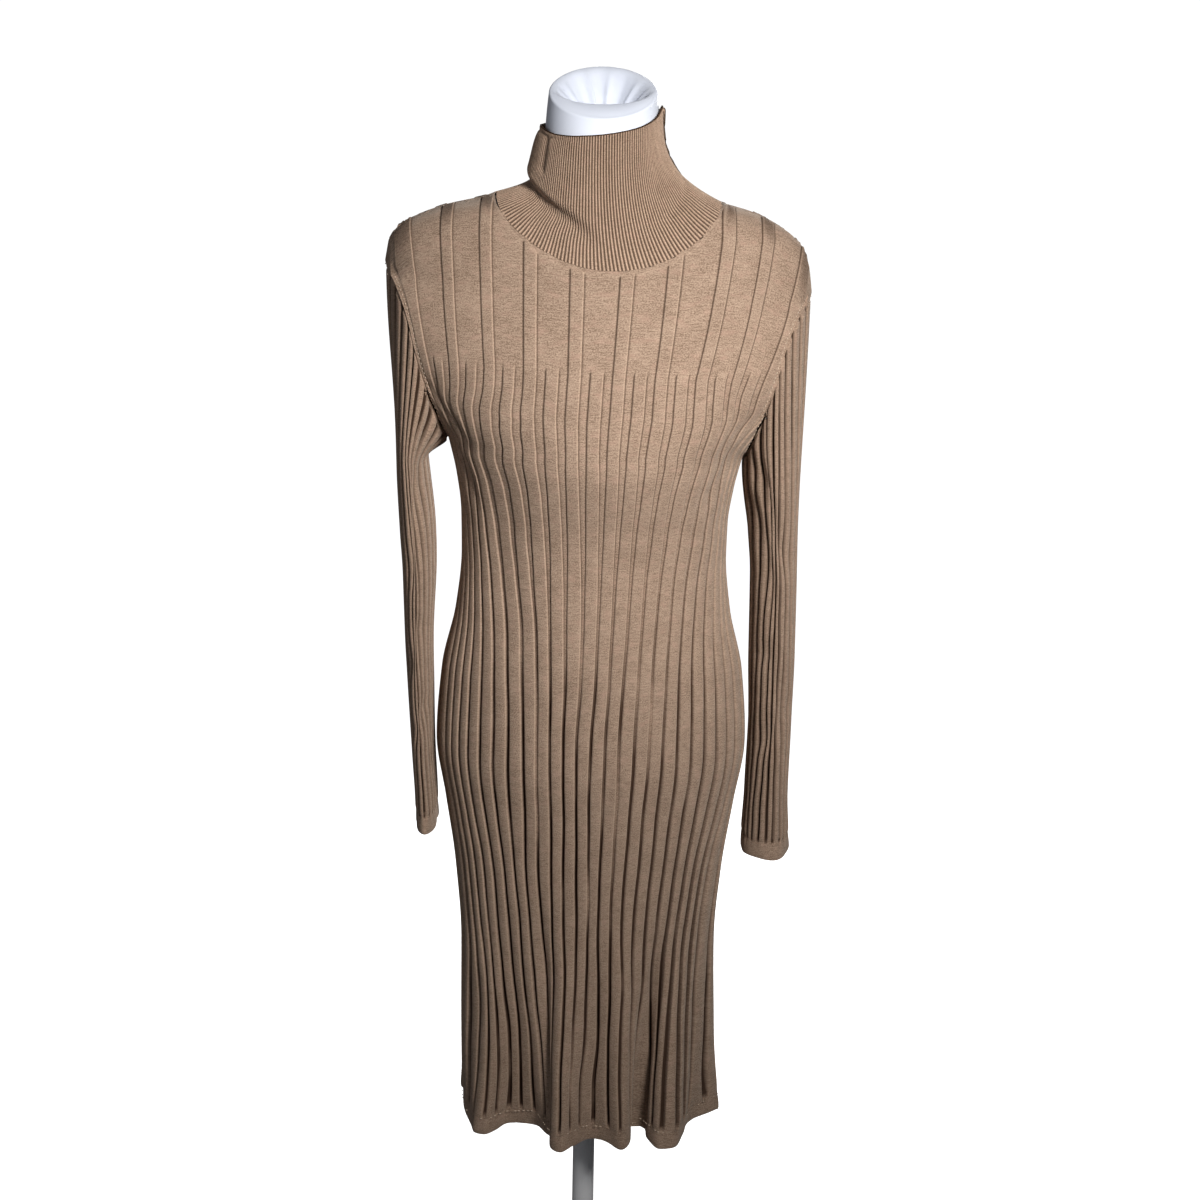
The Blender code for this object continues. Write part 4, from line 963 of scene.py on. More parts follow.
def make_hem_band(panel):
    """The plain band that finishes the hem."""
    t = BAND_ROWS
    ribs = np.linspace(-HALF_RIBS, HALF_RIBS, int(2 * HALF_RIBS * BAND_STEPS) + 1)[:, None] + 0 * t
    heights = HEM + (HEM_BAND - BAND_GAP) * t + 0 * ribs
    points = dress_point(panel, ribs, heights)
    normals = panel_normal(panel, solid_rib(panel, ribs, heights), heights)
    number = np.minimum(groove_number(panel, np.floor(ribs) + 0.5), WAVE_CURVES - 1)
    waver = BAND_WAVER * GROOVE_SWAY(number, heights) * (1 - t)
    groove = band_groove(ribs - 0.5)
    lift = BAND_BULGE * np.sin(math.pi * t) - BAND_DIP - BAND_RIB_DEPTH * groove * t ** 2 + waver * 0.6
    lift = lift - panel_creases(panel, ribs, heights)
    points[..., 2] += waver
    points[[0, -1], :, 1] += FACING[panel] * EDGE_GAP
    return band_object("hem_band_" + panel, points, normals, lift, ribs * STITCH_WALES, HEM_BAND, groove,
                       flip=panel == "back")


# ---- sleeves ----
LOOP_UPPER = 6              # steps of an armhole's turn from the shoulder's tip to the fork
LOOP_HALF = 10              # and on to the side seam
SLEEVE_ROWS = 172
SLEEVE_TUCK = 0.0001        # gap between a sleeve and the armhole it is set into
SLEEVE_STEPS = np.linspace(0.0, 2 * LOOP_HALF, 480, endpoint=False)
SLEEVE_WALES = SLEEVE_RIBS * STITCH_WALES * 0.7
SLEEVE_GROOVE_SWAY = waves(37, (0.30, 0.15, 0.07), (0.5, 0.3, 0.2))
SLEEVE_GROOVE_DEPTH = waves(41, (0.35, 0.14, 0.06), (0.5, 0.3, 0.2))
LEFT_WAVES = 30             # the left sleeve's grooves take their waves from this number on
SLEEVE_CREASE_SCALE = 0.20  # metres round a sleeve, as its creases' slopes take it
SLEEVE_VARIETY = 0.40       # how unevenly deep its grooves are
INNER_DEPTH = (0.95, 0.20)  # share of the grooves' depth on the outer side, and more on the inner side
SLEEVE_SEAM = (0.0009, 0.0006)  # depth of the armhole's seam, and less of it at the shoulder's tip
SLEEVE_SEAM_WIDTH = 0.0035
TIP_HEIGHTS = (1.27, 1.33)
CUFF_WAVE = 0.0012          # rise and fall of the cuff's edge
CUFF_DIP = 0.0003
CUFF_RIB_DEPTH = 0.0007
# The sleeve's ribs by height: share of the pitch that the band takes, channel depth, sway in ribs.
SLEEVE_RELIEF = read_table("height band depth sway", (
    (0.730, 0.66, 0.0040, 0.14), (0.850, 0.62, 0.0042, 0.20), (0.980, 0.62, 0.0042, 0.17),
    (1.120, 0.62, 0.0038, 0.10), (1.220, 0.62, 0.0034, 0.05), (1.340, 0.64, 0.0024, 0.02),
))


def armhole_start(side, turn_step):
    """Points round an armhole: step 0 is the shoulder's tip, 10 the side seam, and then up the back."""
    result = np.zeros((len(turn_step), 3))
    for panel, here in (("front", turn_step <= LOOP_HALF), ("back", turn_step > LOOP_HALF)):
        step = turn_step[here]
        step = step if panel == "front" else 2 * LOOP_HALF - step
        rib = ARMHOLE_RIB + np.maximum(step - LOOP_UPPER, 0.0)
        even = 1 - np.clip(step / LOOP_UPPER, 0, 1)
        upper = heights_up_rib(panel, np.array([side * ARMHOLE_RIB]), FORK, np.array([SHOULDER_TIP]), even)
        height = np.where(step > LOOP_UPPER, ARMHOLE["height"](rib), upper[0])
        points = panel_point(panel, side * rib, height)
        points[step < 1e-6, 1] = 0.0
        away = unit(points - panel_point(panel, side * (rib - 0.2), height))
        room = SLEEVE_TUCK * ramp(step, LOOP_UPPER + 0.5, LOOP_UPPER - 0.5)
        result[here] = points + away * room[:, None]
    return result


def sleeve_points(sleeve, low, rows, high=None):
    """Points of a sleeve's smooth surface, by step round it and row from low to high or its armhole."""
    table = read_table(SLEEVE_COLUMNS, sleeve["rows"])
    start = armhole_start(sleeve["side"], SLEEVE_STEPS)[:, None]
    turn = math.pi * SLEEVE_STEPS[:, None] / LOOP_HALF
    head = start[..., 2]
    heights = low + ((head - SLEEVE_TUCK if high is None else high + 0 * head) - low) * rows
    x = sleeve["side"] * (table["centre"](heights) + table["thick"](heights) * np.cos(turn))
    y = -table["deep"](heights) * np.sin(turn)
    pull = ease((head - heights) / np.maximum(head - sleeve["join"], UNDERARM_TURN))[..., None]
    plan = start[..., :2] + (np.stack((x, y), axis=-1) - start[..., :2]) * pull
    return np.concatenate((plan, heights[..., None]), axis=-1)


def round_lines(points):
    """Each row of a tube's points as a closed line, and the distance walked along it."""
    lines = np.concatenate((points, points[:1])).swapaxes(0, 1)
    return lines, run_along(lines)


def even_round(points, shares):
    """Each row's closed line read at shares of its length; shares are by column and row."""
    return np.stack([read_line(line, way, share % 1.0 * way[-1])
                     for line, way, share in zip(*round_lines(points), shares.T)], axis=1)


def grid_normals(points, flip=False):
    """Normals of a grid that closes on itself from its last column to its first."""
    along = np.roll(points, -1, axis=0) - np.roll(points, 1, axis=0)
    normals = unit(np.cross(along, np.gradient(points, axis=1)))
    return -normals if flip else normals


def make_sleeve(name, sleeve):
    """A sleeve with its ribs and folds, from the armhole to the cuff band."""
    on_left = sleeve["side"] > 0
    smooth = sleeve_points(sleeve, sleeve["cuff"] + CUFF_BAND, np.linspace(0.0, 1.0, SLEEVE_ROWS))
    rib, station = rib_columns(range(SLEEVE_RIBS))
    heights = smooth[:1, :, 2]
    pitch = round_lines(smooth)[1][:, -1] / SLEEVE_RIBS
    half = 0.5 * SLEEVE_RELIEF["band"](heights)
    local = place_in_rib(station, half, pitch, 0.35 * half * pitch)
    sides = [groove[:, None] + (LEFT_WAVES if on_left else 0) for groove in ((rib - 1) % SLEEVE_RIBS, rib)]
    sway = across_rib(*[SLEEVE_GROOVE_SWAY(number, heights) for number in sides], local)
    deeper = np.where(local < 0, *[SLEEVE_GROOVE_DEPTH(number, heights) for number in sides])
    shares = (rib[:, None] + local + SLEEVE_RELIEF["sway"](heights) * sway + 0.5) / SLEEVE_RIBS
    points = even_round(smooth, shares)
    z = points[..., 2]
    turn = shares % 1.0
    inner_side = 0.5 - 0.5 * np.cos(2 * math.pi * turn)
    depth = SLEEVE_RELIEF["depth"](z) * (1 + SLEEVE_VARIETY * deeper)
    depth = depth * (INNER_DEPTH[0] + INNER_DEPTH[1] * inner_side)
    up = run_along(points)
    to_top = up[:, -1:] - up
    rise = ramp(to_top, 0.002, 0.006) * ease(up / 0.006)
    level = station["level"] * rise
    lift = RIB_RISE * level - depth * (1 - level) * ease(to_top / 0.006 + 0.15)
    lift = lift - creases(SLEEVE_CREASE_ROWS[name], turn, z, SLEEVE_CREASE_SCALE, 1.0)
    flat = ease(up / 0.008)
    lift = lift * flat - (1 - flat) * CUFF_DIP
    seam = SLEEVE_SEAM[0] - SLEEVE_SEAM[1] * ramp(z, *TIP_HEIGHTS)
    lift = lift - seam * hill(to_top, 0.0, SLEEVE_SEAM_WIDTH)
    edge = (station["level"] == EDGE_LEVEL) * rise
    # Painted shade darkens the channels by their depth and the bands' edges; a painted highlight lightens the
    # raised stitches.
    marks = {
        "rib_top": np.clip(level, 0, 1),
        "groove": np.clip((1 - station["level"]) * rise * depth / 0.0022, 0, 1) + 0.25 * edge,
        "ridge": 0.8 * station["ridge"] * rise,
    }
    normals = grid_normals(points, on_left)
    return cloth_object("sleeve_" + name + "_knit", points, normals, lift, CLOTH, shares * SLEEVE_WALES,
                        up, marks, closed=True, flip=on_left, wrap=SLEEVE_WALES)


def make_cuff(name, sleeve):
    """The plain band at a sleeve's end."""
    t = BAND_ROWS
    on_left = sleeve["side"] > 0
    smooth = sleeve_points(sleeve, sleeve["cuff"], t, sleeve["cuff"] + CUFF_BAND - BAND_GAP)
    columns = SLEEVE_RIBS * BAND_STEPS
    shares = (np.arange(columns) / columns)[:, None] + 0 * t
    points = even_round(smooth, shares)
    normals = grid_normals(points, on_left)
    groove = band_groove(shares * SLEEVE_RIBS)
    points[..., 2] += CUFF_WAVE * np.sin(2 * math.pi * (3 * shares + 0.2 * sleeve["side"])) * (1 - t)
    lift = BAND_BULGE * np.sin(math.pi * t) - CUFF_DIP - CUFF_RIB_DEPTH * groove * t ** 2
    lift = lift + BAND_WAVER * np.sin(2 * math.pi * (5 * shares + 0.3)) * (1 - t)
    return band_object("cuff_" + name + "_knit", points, normals, lift, shares * SLEEVE_WALES, CUFF_BAND,
                       groove, closed=True, flip=on_left, wrap=SLEEVE_WALES)


# ---- roll neck ----
COLLAR_STAND_ROWS = 48
COLLAR_FOLD_ROWS = 20
COLLAR_RIB_DEPTH = 0.0013
FIRM_FOOT = 0.62            # share of it just above the neckline's seam
COLLAR_GATHER = 0.30        # how much more the ribs close up behind than in front on the way up
COLLAR_STATIONS = ((-0.5, 0.0), (-0.28, 0.56), (0.0, 1.0), (0.28, 0.56))  # place and level in a rib
COLLAR_WALES = COLLAR_RIBS * 3
COLLAR_ROW_SWAY = 0.42      # how much closer the rows lie half way up
SWELL_START = 0.42          # the slouch above the slanting crease: where it starts, over what height,
SWELL_HEIGHT = 0.014
TUCK = (0.85, -0.013, 0.009)  # how far the cloth lies in below it: share, height, width
SAG = (0.30, 0.003, 0.008)  # and how far it sags
LEFT_LOOSE = (128, 168)     # turns over which the turned-down part comes loose on the wearer's left
RIGHT_LOOSE = (-92, -122)
SOFT_CREASE = (0.0016, 0.007)  # depth and width
STANDING_CREASE = (0.0022, -58, 4)  # depth, turn and width in degrees
NECKLINE_SAMPLES = 4096


def neckline_points(count):
    """Points evenly round the neckline, from the front's middle towards the wearer's left."""
    part = np.linspace(-math.pi / 2, math.pi / 2, 401)
    x = NECK_MIDDLE + NECK_HALF * np.sin(part)
    front, back = (point_at_x(panel, x, neckline_height(panel, x)) for panel in ("front", "back"))
    front[[0, -1], 1] = back[[0, -1], 1] = 0.0
    start = int(np.argmin(np.abs(x)))
    loop = np.concatenate((front[start:], back[-2::-1], front[1:start + 1]))
    length = run_along(loop)
    return read_line(loop, length, np.linspace(0.0, length[-1], count, endpoint=False))


def make_collar():
    """The roll neck: standing in front, turned down from the sides round the back."""
    place, station_level = (np.tile(column, COLLAR_RIBS) for column in zip(*COLLAR_STATIONS))
    share = (np.repeat(np.arange(COLLAR_RIBS), len(COLLAR_STATIONS)) + place + 0.5) / COLLAR_RIBS
    fine = neckline_points(NECKLINE_SAMPLES)
    places = np.linspace(0.0, 1.0, NECKLINE_SAMPLES + 1)
    base = read_line(np.concatenate((fine, fine[:1])), places, share)
    turn = np.arctan2((base[:, 0] - NECK_MIDDLE) / NECK_HALF, base[:, 1] / fine[:, 1].min())
    turn = turn + COLLAR_GATHER * np.sin(turn)
    degrees = np.degrees(turn)[:, None]
    row = {name: read(degrees) for name, read in read_table(COLLAR_COLUMNS, COLLAR_ROWS).items()}
    crest, fold, bulge = row["crest"], row["fold"], row["bulge"]
    folded = np.minimum(1.0, fold / FOLD_GROWTH)
    top = np.stack((COLLAR_TOP_X * np.sin(turn), -COLLAR_TOP_Y * np.cos(turn)), axis=-1)[:, None, :]
    out = unit(top)
    foot = base[:, 2:3]
    tall = crest - foot

    def stand(t):
        """Points at shares of the way up the standing cloth, before it slouches."""
        closing = 1 - (1 - t) ** row["lean"]
        plan = base[:, None, :2] + (top - base[:, None, :2]) * closing[..., None]
        return np.concatenate((plan, (foot + tall * t)[..., None]), axis=-1)

    even = np.linspace(0.0, 1.0, COLLAR_STAND_ROWS)[None, :]
    t = even + COLLAR_ROW_SWAY * np.sin(2 * math.pi * even) / (2 * math.pi) + 0 * foot
    plain = stand(t)
    crease_t = np.array([np.interp(*read) for read in zip(row["crease"][:, 0], run_along(plain), t)])[:, None]

    def slouched(points, t):
        """The cloth above the slanting crease hangs out over it."""
        above = (t - crease_t) * tall
        part = np.clip((t - crease_t) / (1 - crease_t), 0.0, 1.0)
        swell = ease(above / SWELL_HEIGHT + SWELL_START) * (1 - part ** 2) ** 0.7
        moved = points.copy()
        moved[..., :2] += out * (bulge * (swell - TUCK[0] * hill(above, *TUCK[1:])))[..., None]
        moved[..., 2] -= bulge * SAG[0] * hill(above, *SAG[1:])
        return moved

    j = (np.arange(1, COLLAR_FOLD_ROWS + 1) * (6.0 / COLLAR_FOLD_ROWS))[None, :]
    bend = math.pi * np.minimum(j / 3.0, 1.0) * folded
    down = np.maximum(j - 3.0, 0.0) / 3.0 * folded
    # The turned-down part lies close on the wearer's left and looser behind and on the right.
    loose = np.where(degrees > 0, ramp(degrees, *LEFT_LOOSE), ramp(degrees, *RIGHT_LOOSE))
    radius = FOLD_RADIUS * folded * (0.25 + 0.75 * loose)
    low_t = 1 - fold * down / tall
    turned = slouched(stand(low_t), low_t)
    turned[..., :2] += out * (radius * (1 - np.cos(bend)) + FOLD_SPLAY * loose * fold * down)[..., None]
    turned[..., 2] += radius * np.sin(bend) + COLLAR_EDGE * j * (1 - folded)
    points = np.concatenate((slouched(plain, t), turned), axis=1)
    up = run_along(points)
    to_top = up[:, -1:] - up

    # A softer crease on the wearer's left, and a standing one on the right.
    along_left = np.clip((100.0 - degrees) / 70.0, -0.5, 1.5)
    soft = ramp(along_left, -0.1, 0.2) * ramp(along_left, 1.1, 0.6)
    lift = -SOFT_CREASE[0] * soft * hill(up, 0.034 + 0.016 * (1 - along_left), SOFT_CREASE[1])
    standing = ramp(up, 0.070, 0.078) * ramp(to_top, 0.003, 0.009)
    lift = lift - STANDING_CREASE[0] * hill(degrees, *STANDING_CREASE[1:]) * standing

    level = station_level[:, None] * ramp(to_top, 0.0005, 0.0017)
    firm = FIRM_FOOT + (1 - FIRM_FOOT) * (ramp(up, 0.004, 0.026) + hill(up, 0.0012, 0.0012))
    rib_depth = COLLAR_RIB_DEPTH * firm * (1 + 0.2 * np.sin(degrees * 0.9 + up * 190))
    lift = lift + RIB_RISE * level - rib_depth * (1 - level) * ease(to_top / 0.002)
    # Painted shade fills the channels and a painted highlight lights the rib crests.
    marks = {"rib_top": level, "groove": np.clip(1.3 * (1 - level), 0, 1), "ridge": 0.8 * level ** 8}
    return cloth_object("roll_neck", points, grid_normals(points), lift, CLOTH, share[:, None] * COLLAR_WALES,
                        up, marks, closed=True, wrap=COLLAR_WALES)


# ---- the form ----
CORE_BLEND = 12
WAIST_INSET = (1.25, 1.10, 0.0045)  # the form lies in further below these heights, by this much
TORSO_HEIGHTS = np.arange(0.82, 1.335, 0.012)
FORM_SIDES = 120
FORM_TURNS = 2 * math.pi * np.arange(FORM_SIDES) / FORM_SIDES
NECK_LIP = 0.0026           # roundness of the edge round the pocket
NECK_SLACK = 0.0014         # how much the cover lies in from the solid on the wearer's right
NECK_DISH = 0.021           # how far the cover lies flat inside that edge in front
NECK_FLOOR = 0.017          # radius of the pocket's floor
NECK_FLOOR_LEAST = 0.012
NECK_DROP = 0.0068          # how much lower the edge lies in front
NECK_RISE = 0.0048          # and how much higher behind
NECK_EDGE_ROLL = 0.0016     # how far the pocket's wall turns in just under its edge
NECK_BULGE = 0.0007
NECK_CREASES = (
    # turn in degrees from the front, width in degrees, depth: folds down the pocket's wall
    (-158.0, 4.5, 0.0050), (-142.0, 9.0, -0.0022), (172.0, 6.0, 0.0034), (150.0, 8.0, -0.0020),
    (128.0, 5.0, 0.0026), (-118.0, 5.0, 0.0024), (-98.0, 4.0, 0.0022), (100.0, 4.0, 0.0022),
    (40.0, 9.0, 0.0014), (-35.0, 10.0, 0.0012),
)


def ring(height, across, front, back, core=0.0):
    """A level ring of points, as the solids have it."""
    x = across * np.sin(FORM_TURNS)
    y = -np.where(np.cos(FORM_TURNS) > 0, front, back) * np.cos(FORM_TURNS)
    wide = np.hypot(x, y)
    grow = (wide ** CORE_BLEND + core ** CORE_BLEND) ** (1 / CORE_BLEND) / wide
    return np.column_stack((x * grow, y * grow, np.full(FORM_SIDES, height)))


def ring_object(name, rings):
    """A closed solid through a stack of rings, lowest first."""
    points = np.stack(rings, axis=1)
    columns, rows = points.shape[:2]
    faces = [tuple(face) for face in grid_faces(np.ones((columns, rows), bool), closed=True)[0].tolist()]
    faces.append(tuple(i * rows for i in range(columns - 1, -1, -1)))
    faces.append(tuple(i * rows + rows - 1 for i in range(columns)))
    flat = points.reshape(-1, 3)
    mesh = list_mesh(name, flat, faces)
    spots = np.empty(len(mesh.loops), np.int32)
    mesh.loops.foreach_get("vertex_index", spots)
    uv = np.column_stack((spots // rows / columns * 0.4, flat[spots, 2]))
    mesh.uv_layers.new(name="knit").data.foreach_set("uv", uv.astype(np.float32).ravel())
    return place_object(name, mesh)


def make_torso():
    """The form's torso under the dress."""
    rows = list(TORSO_LOW_ROWS)
    for height in TORSO_HEIGHTS:
        inset = FORM_INSET + WAIST_INSET[2] * float(ramp(height, *WAIST_INSET[:2]))
        edge, front, back = (float(BODY[key](height)) - inset for key in ("edge_x", "front", "back"))
        rows.append((height, min(edge, FORM_ARM_X), front, back, 0.0))
    rows += list(TORSO_TOP_ROWS)
    rings = [ring(*row) for row in rows]
    for points in rings:
        points[:, 2] -= lean(points[:, 0], points[:, 2])
    return ring_object("form_body", rings)


def make_neck():
    """The neck's cover: its edge turned in over the front into a pocket."""
    degrees = (np.degrees(FORM_TURNS) + 180) % 360 - 180
    facing = np.clip(np.cos(FORM_TURNS), 0.0, 1.0)
    behind = np.clip(-np.cos(FORM_TURNS), 0.0, 1.0)
    neck = NECK_RADIUS - NECK_SLACK
    foot = neck + NECK_FOOT
    edge = neck - NECK_LIP
    dish = 0.0012 + NECK_DISH * facing ** 1.3
    drop = NECK_DROP * facing ** 1.2
    top = NECK_TOP - 0.0015 + NECK_RISE * behind ** 1.4
    lip = top - drop - NECK_LIP
    creases_in = sum(depth * hill((degrees - turn + 180) % 360 - 180, 0.0, width)
                     for turn, width, depth in NECK_CREASES)
    rings = []

    def put(radius, height, tilt):
        x = radius * np.sin(FORM_TURNS) + NECK_SLACK
        y = -radius * np.cos(FORM_TURNS)
        rings.append(np.column_stack((x, y, height + NECK_TILT * tilt * y)))

    for height in np.linspace(FORM_NECK_SEAM + 0.0003, NECK_FOOT_TOP, 6):
        put(foot, height, 0.0)
    for t in np.linspace(0.0, 1.0, 14)[1:]:
        swell = NECK_BULGE * math.sin(math.pi * t)
        put(foot + (neck - foot) * t + swell, NECK_FOOT_TOP + (lip - NECK_FOOT_TOP) * t, t)
    for angle in np.linspace(0.0, math.pi * 0.5, 8)[1:]:
        put(edge + NECK_LIP * math.cos(angle), lip + NECK_LIP * math.sin(angle), 1.0)
    for t in np.linspace(0.0, 1.0, 12)[1:]:
        put(edge - dish * t, lip + NECK_LIP + (drop - dish * 0.10) * (1 - (1 - t) ** 2.2), 1.0)
    for t in np.linspace(0.0, 1.0, 20)[1:]:
        radius = (edge - dish) * (1 - t ** 0.9) + NECK_FLOOR * t ** 0.9
        if t < 0.86:
            radius = radius - creases_in * math.sin(math.pi * min(1.0, t * 1.15)) ** 0.7
        if t < 1.0:
            radius = radius - NECK_EDGE_ROLL * (1 - (1 - min(1.0, t / 0.08)) ** 2)
        height = top - dish * 0.10 - NECK_POCKET_DEPTH * 0.86 * t ** 1.1
        put(np.maximum(radius, NECK_FLOOR_LEAST), height, 1.0 - 0.6 * t)
    return ring_object("form_neck_cover", rings)


# ---- stitches ----
STITCH_SIDES = 6
STITCH_STOPS = ((-0.5, 0.25), (-0.36, 0.85), (0.0, 1.0), (0.36, 0.85), (0.5, 0.25))  # place and width
STITCH_ARCH = 0.3
HEM_STITCH = (0.0028, 0.00052)  # length and radius
HEM_STITCH_PLACES = (-0.30, 0.0, 0.30)  # in a rib
HEM_STITCH_CHANCE = 0.62
HEM_STITCH_SEEDS = {"front": 5, "back": 6}
ARMHOLE_STITCH = (0.0020, 0.00045)
ARMHOLE_STITCH_STEP = 0.0052
ARMHOLE_STITCH_INSET = 0.0032   # from the seam
DRESS_MIDDLE = (0, 0, 1.2)


def stitch_object(name, centres, ways, normals, length, radius):
    """Many small stitches, each a rounded bar of six sides, joined in one mesh."""
    side = unit(np.cross(ways, normals))
    points = []
    for along, wide in STITCH_STOPS:
        arch = STITCH_ARCH * radius * (1 - (2 * along) ** 2)
        for angle in 2 * math.pi * np.arange(STITCH_SIDES) / STITCH_SIDES:
            points.append(centres + ways * along * length + side * math.cos(angle) * radius * wide
                          + normals * (math.sin(angle) * radius * wide + arch))
    count = len(points)
    faces = [(a, a + STITCH_SIDES, b + STITCH_SIDES, b)
             for r in range(0, count - STITCH_SIDES, STITCH_SIDES)
             for a, b in ((r + k, r + (k + 1) % STITCH_SIDES) for k in range(STITCH_SIDES))]
    faces += [tuple(range(STITCH_SIDES)), tuple(range(count - 1, count - STITCH_SIDES - 1, -1))]
    all_faces = [tuple(v + n * count for v in face) for n in range(len(centres)) for face in faces]
    return place_object(name, list_mesh(name, np.stack(points, axis=1).reshape(-1, 3), all_faces))


def hem_stitches(panel):
    """Light stitches where the ribs end on the hem band."""
    random = np.random.default_rng(HEM_STITCH_SEEDS[panel])
    ribs = []
    for rib in range(-SEAM_RIB, SEAM_RIB + 1):
        for place in HEM_STITCH_PLACES:
            if random.random() < HEM_STITCH_CHANCE:
                ribs.append(rib + place + random.uniform(-0.03, 0.03))
    ribs = np.array(ribs)
    height = HEM + HEM_BAND + 0.0008 + random.uniform(-0.0004, 0.0004, len(ribs))
    points = dress_point(panel, ribs, height)
    normals = panel_normal(panel, solid_rib(panel, ribs, height), height)
    ways = unit(dress_point(panel, ribs + 0.05, height) - dress_point(panel, ribs - 0.05, height))
    return stitch_object("hem_stitches_" + panel, points + normals * 0.0002, ways, normals, *HEM_STITCH)


def armhole_stitches(name, sleeve):
    """Small fashioning marks along the armhole seam."""
    step = np.linspace(0.3, 2 * LOOP_HALF - 0.3, 120)
    points = armhole_start(sleeve["side"], step)
    length = run_along(points)
    wanted = np.arange(0.004, length[-1], ARMHOLE_STITCH_STEP)
    middle = read_line(points, length, wanted)
    ways = unit(read_line(points, length, wanted + 0.001) - middle)
    in_front = np.interp(wanted, length, step) <= LOOP_HALF
    level = middle[:, 2] + lean(middle[:, 0], middle[:, 2])
    rib = sleeve["side"] * (BODY["edge_rib"](level) - 0.3)
    normals = np.where(in_front[:, None], panel_normal("front", rib, level), panel_normal("back", rib, level))
    inward = unit(np.cross(normals, ways))
    toward = np.sign(np.sum(inward * (np.array(DRESS_MIDDLE) - middle), axis=-1))[:, None]
    spots = middle + inward * toward * ARMHOLE_STITCH_INSET + normals * 0.0001
    return stitch_object("armhole_marks_" + name, spots, ways, normals, *ARMHOLE_STITCH)


# ---- materials ----
MIX_SOCKETS = {"RGBA": (6, 7, 2), "FLOAT": (2, 3, 0)}  # inputs A and B, and the output, by kind
TURN = 2 * math.pi


class Graph:
    """Short calls for building a material's nodes."""

    def __init__(self, name):
        self.material = bpy.data.materials.new(name)
        self.material.use_nodes = True
        self.tree = self.material.node_tree
        self.shader = self.tree.nodes["Principled BSDF"]

    def put(self, socket, value):
        """Link or set a socket."""
        if isinstance(value, bpy.types.NodeSocket):
            self.tree.links.new(value, socket)
        else:
            socket.default_value = value

    def node(self, kind, inputs=None, **settings):
        """A node with its settings and some of its inputs."""
        made = self.tree.nodes.new(kind)
        for key, value in settings.items():
            setattr(made, key, value)
        for key, value in (inputs or {}).items():
            self.put(made.inputs[key], value)
        return made

    def math(self, operation, a, b=0.0, c=0.0, clamp=False):
        """The result of a sum."""
        inputs = {0: a, 1: b, 2: c}
        return self.node("ShaderNodeMath", inputs, operation=operation, use_clamp=clamp).outputs[0]

    def times(self, a, b, clamp=False):
        """The product."""
        return self.math("MULTIPLY", a, b, clamp=clamp)

    def scale_add(self, a, b, c):
        """a times b plus c."""
        return self.math("MULTIPLY_ADD", a, b, c)

    def attribute(self, name):
        """A number stored on the mesh's points."""
        return self.node("ShaderNodeAttribute", attribute_name=name).outputs["Fac"]

    def place(self):
        """The place on the object, in metres."""
        return self.node("ShaderNodeTexCoord").outputs["Object"]

    def noise(self, source, scale, detail=2.0, roughness=0.5, stretch=None):
        """Cloudy noise over a place, stretched along its first two axes."""
        if stretch:
            source = self.node("ShaderNodeMapping", {"Vector": source, "Scale": stretch + (1.0,)}).outputs[0]
        inputs = {"Vector": source, "Scale": scale, "Detail": detail, "Roughness": roughness}
        return self.node("ShaderNodeTexNoise", inputs).outputs["Fac"]

    def mix(self, factor, a, b, kind="RGBA"):
        """From a to b by the factor, for colours or numbers."""
        first, second, result = MIX_SOCKETS[kind]
        return self.node("ShaderNodeMix", {0: factor, first: a, second: b}, data_type=kind).outputs[result]

    def spread(self, value, low, high, to_low=0.0, to_high=1.0):
        """The range from low to high, widened to another one."""
        inputs = {"Value": value, "From Min": low, "From Max": high, "To Min": to_low, "To Max": to_high}
        return self.node("ShaderNodeMapRange", inputs).outputs["Result"]

    def set_shader(self, **sockets):
        """Set the main shader's sockets by name."""
        for key, value in sockets.items():
            self.put(self.shader.inputs[key.replace("_", " ")], value)

    def bump(self, height, strength, distance):
        """Give the main shader a bumpy surface."""
        inputs = {"Strength": strength, "Distance": distance, "Height": height}
        self.set_shader(Normal=self.node("ShaderNodeBump", inputs).outputs["Normal"])


def rgb(red, green, blue):
    """A colour with its alpha."""
    return (red, green, blue, 1.0)


